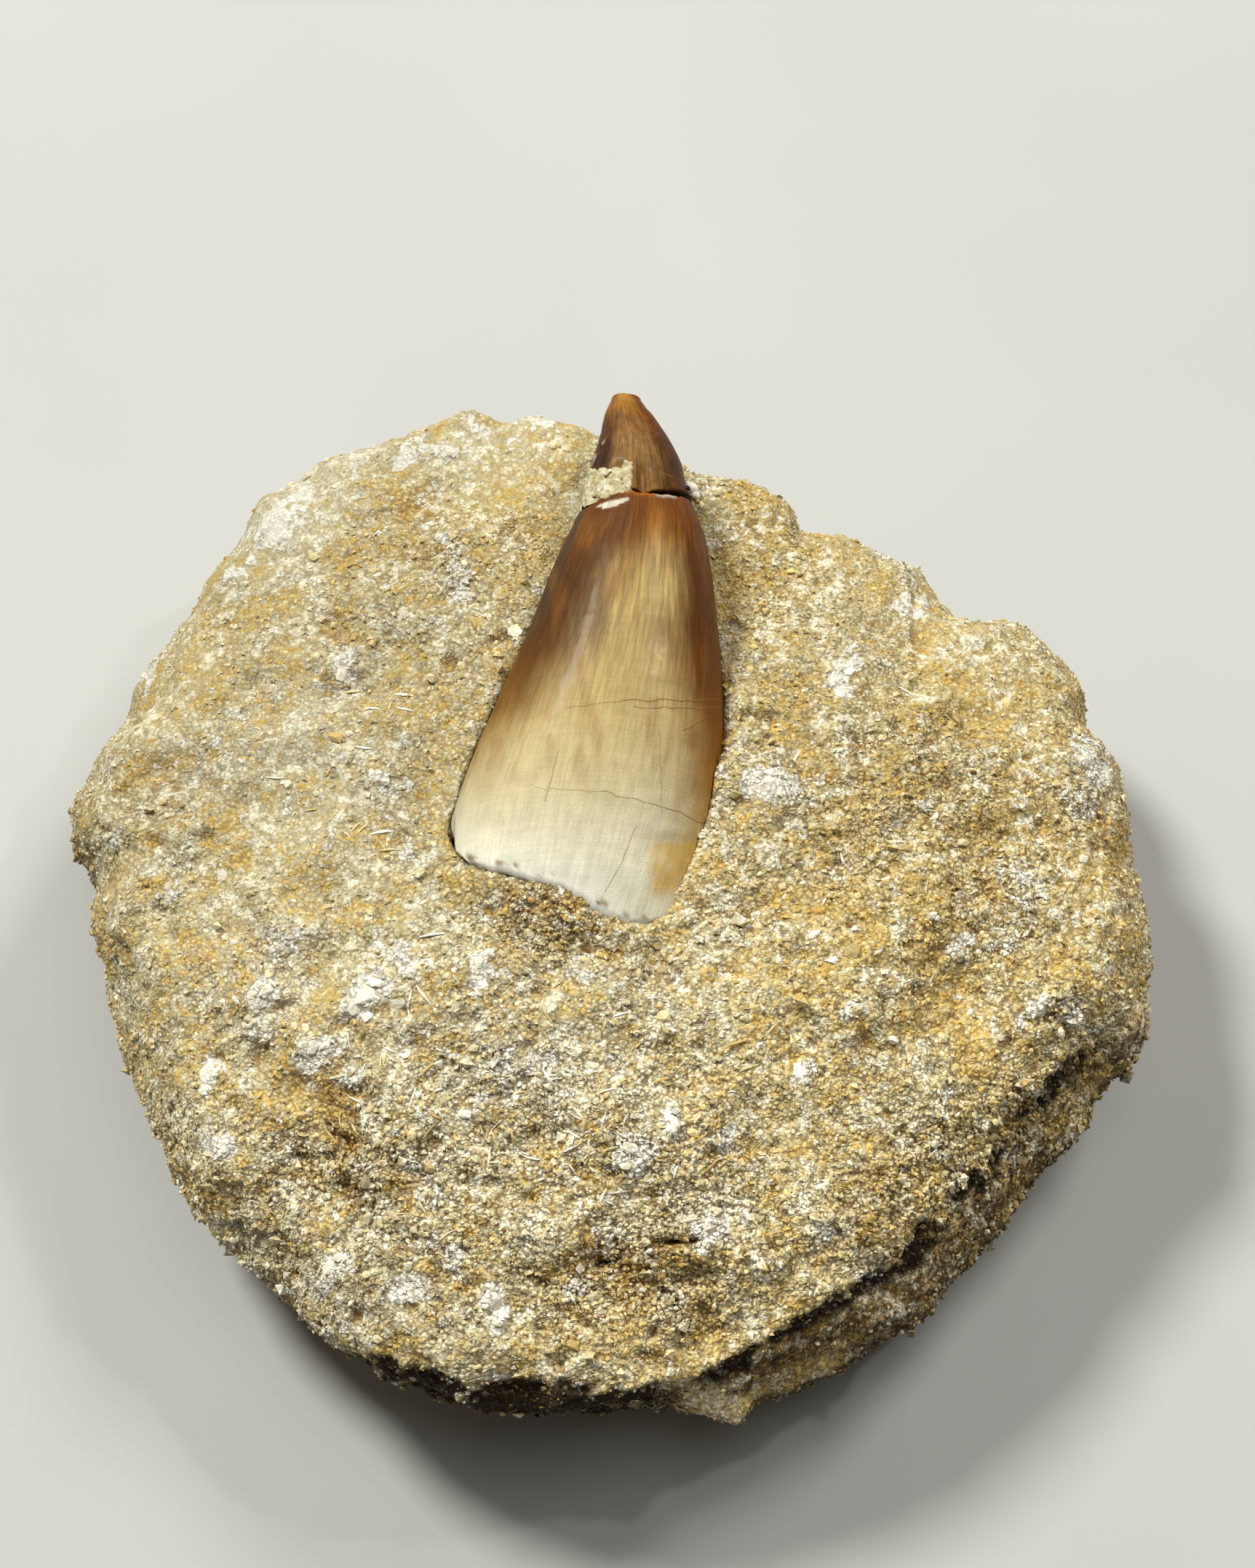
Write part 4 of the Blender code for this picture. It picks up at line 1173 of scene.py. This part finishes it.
def build_tip(form):
    loft = Loft(form, search_tree("tooth_tip", "break_filler"), TIP_SPAN, TIP_STATIONS, 2)
    ring = ring_of(loft.angles, 5, 5)
    low = loft.low + 0.14 * waves(ring, 0.9, 51) + 0.06 * waves(ring, 0.4, 52)
    points, y = loft.places(low, loft.high)
    angle = np.tile(loft.angles, len(loft.share))
    across = np.cos(angle)
    ripples = 0.006 * waves(points, 1.2, 53) + 0.012 * waves(points, 2.6, 54)
    right_fuller = blend_values(TIP_FULLER_RIGHT, y.ravel()) * held(across) ** 2
    left_fuller = blend_values(TIP_FULLER_LEFT, y.ravel()) * held(-across) ** 2
    swell = (ripples + (right_fuller + left_fuller)).reshape(loft.reach.shape)
    points, _ = loft.places(low, loft.high, swell)
    colours = tip_colours(points, across)
    material = enamel_material("tip_enamel", 1.2, TIP_CRACKS)
    ends = (0.1, 0.35, 4, 55)
    faces = (BREAK_SHADE, BROKEN_FACE)
    enamel_piece("tip_enamel", loft, points, ends, faces, colours, material, ["tooth_tip"])
    return loft


# The stone


def remeshed(node, voxel, passes):
    """A voxel remesh of a CAD node, melted a little, as a mesh of its own."""
    source = linked("remesh_source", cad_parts[node].data.copy())
    voxels = source.modifiers.new("voxels", "REMESH")
    voxels.mode = "VOXEL"
    voxels.voxel_size = voxel * MM
    melt = source.modifiers.new("melt", "SMOOTH")
    melt.factor = 0.5
    melt.iterations = passes
    graph = bpy.context.evaluated_depsgraph_get()
    mesh = bpy.data.meshes.new_from_object(source.evaluated_get(graph))
    bpy.data.objects.remove(source)
    return mesh


def distance_to(tree, points, most):
    """Signed distance to a surface, negative inside it, and the nearest normal. Past most it is most."""
    distance = np.full(len(points), most)
    normals = np.zeros((len(points), 3))
    for index, point in enumerate(points):
        hit, normal, _, away = tree.find_nearest(point, most)
        if hit is not None:
            inside = (Vector(point) - hit).dot(normal) < 0
            distance[index] = -away if inside else away
            normals[index] = normal
    return distance, normals


def skin_relief(points, sand):
    """Height of the fine relief of the skin: lumps, and pits where the lumps of another size are low."""
    relief = sum(height * waves(points, size, 60 + k) for k, (size, height) in enumerate(SKIN_RELIEF))
    pits = held(waves(points, PIT_SIZE, 70) - PIT_FROM) * PIT_DEPTH
    strength = 1 - 0.55 * sand.smooth + 0.5 * sand.rough
    hollow = 0.30 * sand.brown - 0.08 * sand.chalk + 0.6 * sand.shade_band
    return (relief - pits) * strength - hollow


def rubble_raise(tooth, points, normals, base_edge):
    """How much the sand rises round the crown's base, so that it leans against it."""
    raise_by = np.zeros(len(points))
    low = base_edge.min(axis=0) - RUBBLE_REACH
    high = base_edge.max(axis=0) + RUBBLE_REACH
    inside = np.all((points > low) & (points < high), axis=1) & (normals[:, 2] > 0.1)
    for index in np.flatnonzero(inside):
        away = base_edge[:, :2] - points[index, :2]
        distance = np.hypot(away[:, 0], away[:, 1])
        lift = (base_edge[:, 2] - RUBBLE_DROP - RUBBLE_SLOPE * distance).max() - points[index, 2]
        if lift > 0 and tooth.ray_cast(Vector(points[index]), (0, 0, 1), OVERHEAD)[0] is None:
            raise_by[index] = lift
    return raise_by


def build_skin(tooth, base_edge):
    mesh = remeshed("matrix_stone", VOXEL, SKIN_SMOOTHING)
    points, normals, triangles = mesh_arrays(mesh)
    bpy.data.meshes.remove(mesh)
    sand = Sand(points, normals)
    points = points + np.outer(rubble_raise(tooth, points, normals, base_edge), (0, 0, 1))
    gap, away = distance_to(tooth, points, SEAM_SEARCH)
    free = sharpened(gap, 0.4, 2.0)
    low = sharpened(points[:, 2], 0.1, 2.5)
    relief = skin_relief(points, sand)
    points = points + normals * (relief * free * low)[:, None]
    # Close to the tooth the sand is drawn up against it, so that no gap shows
    points -= away * (SEAM_PULL * peak(gap, SEAM_REACH) * (gap < SEAM_SEARCH))[:, None]
    points[:, 2] = np.maximum(points[:, 2], 0.0)
    # Painted shade: the skin between the grains is darker than they are, partly as darker cement, and darker
    # still where it meets the tooth
    shade = 0.80 + 0.12 * sand.smooth + 0.06 * waves(points, 0.9, 71)
    shade *= 1 - 0.4 * peak(gap, 0.5)
    # Hollows are painted browner as warm shade, and what stands out is paler
    colours = toward(sand.colours(), 0.8 * sharpened(-relief, 0.05, 0.8), HOLLOW_BROWN)
    colours = np.clip(colours * shade[:, None], 0.01, 1)
    chalk = held(sand.chalk + 0.3 * sharpened(relief, 0.2, 0.7))
    layers = {"sand": colours, "grit": sand.grit, "chalk": chalk, "wall": sand.wall, "level": sand.level}
    material = sand_material("sand_skin", 0.76, (0.75, 0.28), 0.2, (0.82, 0.98))
    # The skin is cut in slices from left to right
    order = np.argsort(points[triangles].mean(axis=1)[:, 0], kind="stable")
    for number, share in enumerate(np.array_split(order, SKIN_PIECES), start=1):
        used, corners = np.unique(triangles[share], return_inverse=True)
        name = f"stone_skin_{number}"
        here = {layer: values[used] for layer, values in layers.items()}
        faces = corners.reshape(-1, 3)
        array_piece(name, points[used], faces, material, "matrix", ["matrix_stone"], **here)
    return points, mesh_normals(points, triangles), triangles


def face_normals(points, triangles):
    """Normals of triangles, each as long as twice its area."""
    corners = points[triangles]
    return np.cross(corners[:, 1] - corners[:, 0], corners[:, 2] - corners[:, 0])


def mesh_normals(points, triangles):
    """Normals of the points of a mesh, each the mean of its faces' by area."""
    faces = face_normals(points, triangles)
    normals = np.zeros_like(points)
    for corner in range(3):
        np.add.at(normals, triangles[:, corner], faces)
    return normals / np.maximum(np.linalg.norm(normals, axis=1), 1e-9)[:, None]


def scattered(skin, weight, count, rng):
    """Random places on a mesh, with their normals, more of them where weight is high."""
    points, normals, triangles = skin
    size = np.linalg.norm(face_normals(points, triangles), axis=1)
    chance = size * weight[triangles].mean(axis=1)
    picked = rng.choice(len(triangles), count, p=chance / chance.sum())
    share = np.sqrt(rng.random(count))
    turn = rng.random(count)
    parts = np.stack([1 - share, share * (1 - turn), share * turn], axis=1)[:, :, None]
    places = (points[triangles[picked]] * parts).sum(axis=1)
    facing = (normals[triangles[picked]] * parts).sum(axis=1)
    return places, facing / np.linalg.norm(facing, axis=1)[:, None]


def random_turns(count, rng):
    """Random turns as matrices."""
    parts = rng.normal(size=(4, count))
    w, x, y, z = parts / np.linalg.norm(parts, axis=0)
    rows = [
        [1 - 2 * (y * y + z * z), 2 * (x * y - z * w), 2 * (x * z + y * w)],
        [2 * (x * y + z * w), 1 - 2 * (x * x + z * z), 2 * (y * z - x * w)],
        [2 * (x * z - y * w), 2 * (y * z + x * w), 1 - 2 * (x * x + y * y)],
    ]
    return np.moveaxis(np.array(rows), 2, 0)


OCTAHEDRON = (
    np.array([[1, 0, 0], [0, 1, 0], [-1, 0, 0], [0, -1, 0], [0, 0, 1], [0, 0, -1]], dtype=float),
    np.array([[0, 1, 4], [1, 2, 4], [2, 3, 4], [3, 0, 4], [1, 0, 5], [2, 1, 5], [3, 2, 5], [0, 3, 5]]),
)


def icosahedron():
    long = (1 + math.sqrt(5)) / 2
    signs = [(s, t * long) for s in (-1, 1) for t in (-1, 1)]
    points = [(0, s, t) for s, t in signs] + [(s, t, 0) for s, t in signs] + [(t, 0, s) for s, t in signs]
    points = np.array(points, dtype=float) / math.hypot(1, long)
    near = np.linalg.norm(points[:, None] - points[None], axis=2) < 1.2
    faces = []
    for a, b, c in itertools.combinations(range(12), 3):
        if near[a, b] and near[b, c] and near[a, c]:
            outward = np.dot(np.cross(points[b] - points[a], points[c] - points[a]), points[a]) > 0
            faces.append((a, b, c) if outward else (a, c, b))
    return points, np.array(faces)


def lumps(solid, places, facing, radius, lift, flatten, rng):
    """Rough little solids, one at each place: points and triangles of them all."""
    corners, faces = solid
    count = len(places)
    shape = corners[None] * rng.uniform(0.72, 1.22, (count, len(corners), 1))
    stretch = rng.uniform(0.6, 1.4, (count, 1, 3))
    shape = np.einsum("nij,nkj->nki", random_turns(count, rng), shape * stretch)
    shape *= radius[:, None, None]
    height = np.einsum("nki,ni->nk", shape, facing)
    shape -= (flatten * height)[:, :, None] * facing[:, None, :]
    middle = places + facing * (radius * lift)[:, None]
    points = (shape + middle[:, None]).reshape(-1, 3)
    triangles = (faces[None] + (np.arange(count) * len(corners))[:, None, None]).reshape(-1, 3)
    return points, triangles


def clear_of_tooth(tooth, places, radius):
    """Which places lie outside the tooth by more than a share of their own radius, and not under it."""
    distance, _ = distance_to(tooth, places, TOOTH_SEARCH)
    keep = distance > radius * TOOTH_CLEAR
    for index in np.flatnonzero(keep & (distance < TOOTH_NEAR)):
        above = Vector(places[index]) + Vector((0, 0, 0.05))
        hit = tooth.ray_cast(above, (0, 0, 1), OVERHEAD)[0]
        keep[index] = hit is None
    return keep


def grain_colours(sand, rng):
    """A colour for each grain: the sand's own, some pale, some ochre and some dark."""
    count = sand.count
    colour = sand.colours()
    pick = rng.random(count)
    pale = pick < 0.10 + 0.25 * sand.chalk + 0.07 * sand.grey
    ochre = (pick > 0.93 - 0.25 * sand.ochre - 0.05 * sand.yellow) & ~pale
    dark = (pick > 0.40) & (pick < 0.455 + 0.12 * sand.brown)
    for chosen, other, least, most in (
        (pale, CHALK, 0.35, 0.85),
        (ochre, OCHRE, 0.3, 0.8),
        (dark, BROWN * 0.7, 0.4, 0.9),
    ):
        colour[chosen] += (other - colour[chosen]) * rng.uniform(least, most, (chosen.sum(), 1))
    shade = np.exp(rng.normal(0, 0.13, count))
    warmth = rng.normal(0, 0.05, count)
    tint = np.column_stack([1 + warmth * 0.3, np.ones(count), 1 - warmth * 1.6])
    return np.clip(colour * shade[:, None] * tint, 0.01, 0.92)


def strewn(skin, tooth, weight, count, spare, middle_radius, spread, clearance, rise, rng):
    """Places, normals and radii of grains, so many radii clear of the tooth and the floor."""
    places, facing = scattered(skin, weight, int(count * spare), rng)
    radius = middle_radius * np.exp(rng.normal(0, spread, len(places)))
    clear = clear_of_tooth(tooth, places, radius * clearance) & (places[:, 2] > radius * rise)
    keep = np.flatnonzero(clear)[:count]
    return places[keep], facing[keep], radius[keep]


def lump_piece(name, solid, places, facing, radius, lift, flatten, rng, material, layers):
    """A piece of the stone made of lumps. layers are values for each lump."""
    points, triangles = lumps(solid, places, facing, radius, lift, flatten, rng)
    spread = {layer: np.repeat(values, len(solid[0]), axis=0) for layer, values in layers.items()}
    array_piece(name, points, triangles, material, "matrix", smooth=False, **spread)


def build_grains(skin, tooth):
    rng = np.random.default_rng(GRAIN_SEED)
    points, normals, _ = skin
    under = sharpened(-normals[:, 2], 0.3, 0.8)
    weight = (1 - (1 - UNDERSIDE_SHARE) * under) * (0.25 + 0.75 * Sand(points, normals).grit)
    places, facing, radius = strewn(
        skin, tooth, weight, GRAIN_COUNT, 1.04, GRAIN_RADIUS, GRAIN_SPREAD, 1.0, 1.7, rng
    )
    sand = Sand(places, facing)
    radius *= 0.9 + 0.3 * sand.grit
    lift = 0.05 + 0.55 * sand.grit - 0.5 * sand.smooth + rng.normal(0, 0.2, len(places))
    # The grains take part of the sand's painted light and shade
    layers = {
        "sand": grain_colours(sand, rng),
        "grit": sand.grit,
        "chalk": sand.chalk,
        "wall": sand.wall,
        "level": sand.level**GRAIN_LIFT,
    }
    material = sand_material("sand_grain", 0.25, (0.4, 0.14), 0.3, (0.74, 0.95))
    # Each piece takes the grains of one part of the turn round the stone
    order = np.argsort(np.arctan2(places[:, 1], places[:, 0]))
    for number, share in enumerate(np.array_split(order, GRAIN_PIECES), start=1):
        grains = (places[share], facing[share], radius[share], lift[share])
        chosen = {layer: values[share] for layer, values in layers.items()}
        lump_piece(f"sand_grains_{number}", OCTAHEDRON, *grains, 0.2, rng, material, chosen)


def build_granules(skin, tooth):
    """Coarser grains, and flecks of shell where the stone is chalky."""
    rng = np.random.default_rng(GRANULE_SEED)
    points, normals, _ = skin
    sand = Sand(points, normals)
    coarse = 0.1 + sand.rough + 0.3 * sand.side
    shelly = 0.10 + 1.6 * sand.chalk + 0.25 * sand.grey
    sets = (
        ("coarse_grains", coarse, GRANULE_COUNT, GRANULE_RADIUS, 0.3, 0.1),
        ("shell_flecks", shelly, FLECK_COUNT, FLECK_RADIUS, 0.8, 0.0),
    )
    for name, weight, count, middle_radius, flatten, lift in sets:
        places, facing, radius = strewn(skin, tooth, weight, count, 1.08, middle_radius, 0.3, 1.6, 1.3, rng)
        here = Sand(places, facing)
        if name == "shell_flecks":
            # The flecks take the sand's painted light and shade
            colours = CHALK * rng.uniform(0.70, 1.0, (len(places), 1)) * here.level[:, None]
            colours[rng.random(len(places)) < 0.4] *= (1.0, 0.92, 0.72)
        else:
            colours = grain_colours(here, rng)
        grains = (places, facing, radius, np.full(len(places), lift))
        material = shell_material(name, 0.2, 0.75)
        layers = {"sand": np.clip(colours, 0.01, 0.92)}
        lump_piece(name, icosahedron(), *grains, flatten, rng, material, layers)


def on_surface(tree, right, up):
    """The place and normal where the sight line through a place of the view plane meets a surface."""
    start, way = sight_line(right, up)
    hit, normal, _, _ = tree.ray_cast(start, way)
    return hit, normal


def sliver_arrays(tree, right, up, length, width, turn, bend, colour, rng):
    """A thin bent piece of shell that lies on the sand, pointed at both ends."""
    stations, sides = 9, 6
    turn = math.radians(turn)
    rings = []
    for k in range(stations):
        share = k / (stations - 1)
        along = (share - 0.5) * length
        aside = bend * length * 0.2 * (1 - (2 * share - 1) ** 2)
        place, normal = on_surface(
            tree,
            right + along * math.cos(turn) - aside * math.sin(turn),
            up + along * math.sin(turn) + aside * math.cos(turn),
        )
        half = width / 2 * (0.25 + 0.75 * math.sin(math.pi * min(max(share, 0.06), 0.94)) ** 0.7)
        heading = Vector((math.cos(turn), math.sin(turn), 0))
        aside_way = normal.cross(heading).normalized()
        lift = normal * (0.02 + 0.08 * math.sin(math.pi * share))
        for s in range(sides):
            angle = 2 * math.pi * s / sides
            out = aside_way * (half * math.cos(angle)) + normal * (half * 0.55 * math.sin(angle))
            rings.append(place + lift + out * rng.uniform(0.85, 1.12))
    points = np.array([tuple(p) for p in rings])
    triangles = lattice_triangles(stations, sides)
    ends = []
    for first in (0, (stations - 1) * sides):
        middle = points[first : first + sides].mean(axis=0)
        number = len(points)
        points = np.vstack([points, middle])
        for s in range(sides):
            pair = (first + s, first + (s + 1) % sides)
            ends.append((pair[1], pair[0], number) if first == 0 else (*pair, number))
    triangles = np.concatenate([triangles, np.array(ends)])
    return points, triangles, np.tile(colour, (len(points), 1))


def chip_arrays(tree, solid, right, up, length, width, turn, rng):
    """A flat angular chip of shell, half sunk in the sand."""
    place, normal = on_surface(tree, right, up)
    turn = math.radians(turn)
    aside = normal.cross(Vector((math.cos(turn), math.sin(turn), 0))).normalized()
    axes = np.array([tuple(aside.cross(normal)), tuple(aside), tuple(normal)])
    corners, faces = solid
    shape = corners * rng.uniform(0.6, 1.3, (len(corners), 1)) * (length, width, CHIP_THICKNESS)
    points = shape @ axes + np.array(place) + np.array(normal) * CHIP_RISE
    return points, faces, np.tile(CHALK * rng.uniform(0.9, 1.08), (len(points), 1))


def joined(parts):
    """Several (points, triangles, colours) as one."""
    points, triangles, colours = [], [], []
    total = 0
    for some_points, some_triangles, some_colours in parts:
        points.append(some_points)
        triangles.append(some_triangles + total)
        colours.append(some_colours)
        total += len(some_points)
    return np.concatenate(points), np.concatenate(triangles), np.concatenate(colours)


def build_shells(skin):
    """The single shells and chips that stand out in the photo."""
    rng = np.random.default_rng(SHELL_SEED)
    points, _, triangles = skin
    stone = BVHTree.FromPolygons(points.tolist(), triangles.tolist())
    tones = {"ochre": tone(198, 170, 112), "sand": SAND * 1.1, "chalk": CHALK}
    parts = [sliver_arrays(stone, *row[:6], tones[row[6]], rng) for row in SLIVERS]
    solid = icosahedron()
    parts += [chip_arrays(stone, solid, *row, rng) for row in CHIPS]
    for right, up, wide, high, count in SHELL_HASH:
        for _ in range(count):
            at = (right + wide * rng.normal(0, 0.5), up + high * rng.normal(0, 0.5))
            size = (rng.uniform(0.7, 2.0), rng.uniform(0.16, 0.30), rng.uniform(0, 180), rng.uniform(0, 0.4))
            colour = tones[rng.choice(("chalk", "sand", "ochre"), p=(0.5, 0.35, 0.15))]
            parts.append(sliver_arrays(stone, *at, *size, colour, rng))
    points, triangles, colours = joined(parts)
    colours = np.clip(colours, 0.01, 0.92)
    material = shell_material("shell", 0.25, 0.65)
    array_piece("shells_and_chips", points, triangles, material, "matrix", smooth=False, sand=colours)


# The filler and what is round the break


def depth_inside(seen, outline):
    """How far places of the view lie inside an outline, negative outside it."""
    nearest = np.full(len(seen), np.inf)
    crossings = np.zeros(len(seen), dtype=int)
    for start, end in zip(outline, outline[1:] + outline[:1]):
        start = np.array(start)
        run = np.array(end) - start
        away = seen - start
        share = np.clip(away @ run / (run @ run), 0, 1)
        nearest = np.minimum(nearest, np.linalg.norm(away - share[:, None] * run, axis=1))
        spans = (start[1] > seen[:, 1]) != (start[1] + run[1] > seen[:, 1])
        at = start[0] + run[0] * (seen[:, 1] - start[1]) / (run[1] if run[1] else 1e-9)
        crossings += spans & (seen[:, 0] < at)
    return np.where(crossings % 2 == 1, nearest, -nearest)


def build_filler(form, tip):
    """The filler: a crust over the start of the tip, raised inside its outline and sunk outside it."""
    rows, columns = FILLER_GRID
    angles = np.radians(np.linspace(*FILLER_TURN, columns))
    low = tip.edge_at(angles) - FILLER_LEAD
    grid = low[None, :] + np.linspace(0, FILLER_LENGTH, rows)[:, None]
    y = grid.ravel()
    angle = np.tile(angles, len(grid))
    reach = tip.reach_at(angle, y)
    flat = form.placed(y, angle, reach)
    ragged = 0.26 * waves(flat, 0.8, 81) + 0.14 * waves(flat, 0.3, 84)
    raised = sharpened(depth_inside(in_view_plane(flat), FILLER_OUTLINE) + ragged, -0.05, 0.14)
    height = FILLER_SUNK + raised * (0.47 + 0.18 * waves(flat, 0.8, 82) + 0.10 * waves(flat, 0.3, 83))
    points = form.placed(y, angle, reach, height)
    triangles = lattice_triangles(rows, columns, closed=False)[:, ::-1]
    shown = (height[triangles] > FILLER_SHOWN).any(axis=1)
    used, corners = np.unique(triangles[shown], return_inverse=True)
    points = points[used]
    faces = corners.reshape(-1, 3)
    stain = sharpened(waves(points, 0.8, 85), 0.1, 0.5)
    pits = sharpened(-waves(points, 0.35, 86), 0.35, 0.55)
    colours = toward(np.tile(FILLER, (len(points), 1)), stain * 0.5, FILLER_STAIN)
    colours = toward(colours, pits * 0.6, FILLER_PIT)
    material = filler_material()
    array_piece("break_filler_crust", points, faces, material, "filler", ["break_filler"], sand=colours)


def build_crumbs():
    """White crumbs at the right end of the break, painted lighter as light against the shadow of the tip, and
    a dark lump of painted shade where a pit is.
    """
    everything = search_tree("matrix_stone", "tooth_crown", "tooth_tip")
    rng = np.random.default_rng(CRUMB_SEED)
    solid = icosahedron()
    parts = []
    for right, up, radius, colour in CRUMBS:
        place, normal = on_surface(everything, right, up)
        at = np.array([tuple(place + normal * radius * 0.6)])
        facing = np.array([tuple(normal)])
        points, triangles = lumps(solid, at, facing, np.array([radius]), np.zeros(1), 0.2, rng)
        parts.append((points, triangles, np.tile(colour, (len(points), 1))))
    points, triangles, colours = joined(parts)
    material = shell_material("crumb", 0.2, 0.7, 0.05)
    array_piece("break_crumbs", points, triangles, material, "filler", sand=colours)


# The studio


def add_floor():
    corners = np.array([(-1, -1, 0), (1, -1, 0), (1, 1, 0), (-1, 1, 0)]) * FLOOR_SIDE
    mesh = make_mesh("floor", corners - (0, 0, FLOOR_DROP), np.array([[0, 1, 2, 3]]), smooth=False)
    mesh.materials.append(floor_material())
    floor = linked("floor", mesh)


def add_light(name, way, distance, size, power, colour):
    """A round area light that looks at the stone from a direction."""
    data = bpy.data.lights.new(name, "AREA")
    data.shape = "DISK"
    data.size = size
    data.energy = power
    data.color = colour
    light = linked(name, data)
    way = Vector(way).normalized()
    light.location = way * distance + Vector((0, 0, LIT_HEIGHT))
    light.rotation_euler = way.to_track_quat("Z", "Y").to_euler()


def add_lights():
    for light in LIGHTS:
        add_light(*light)
    world = bpy.data.worlds.new("studio")
    world.use_nodes = True
    background = world.node_tree.nodes["Background"]
    background.inputs["Color"].default_value = WORLD_COLOUR
    background.inputs["Strength"].default_value = WORLD_STRENGTH
    bpy.context.scene.world = world
    bpy.context.scene.view_settings.view_transform = "Standard"


def main():
    add_camera()
    add_floor()
    add_lights()
    tooth = search_tree("tooth_crown", "tooth_tip", "break_filler")
    form = ToothForm()
    base_edge = build_crown(form)
    tip = build_tip(form)
    build_filler(form, tip)
    build_crumbs()
    skin = build_skin(tooth, base_edge)
    build_grains(skin, tooth)
    build_granules(skin, tooth)
    build_shells(skin)


main()
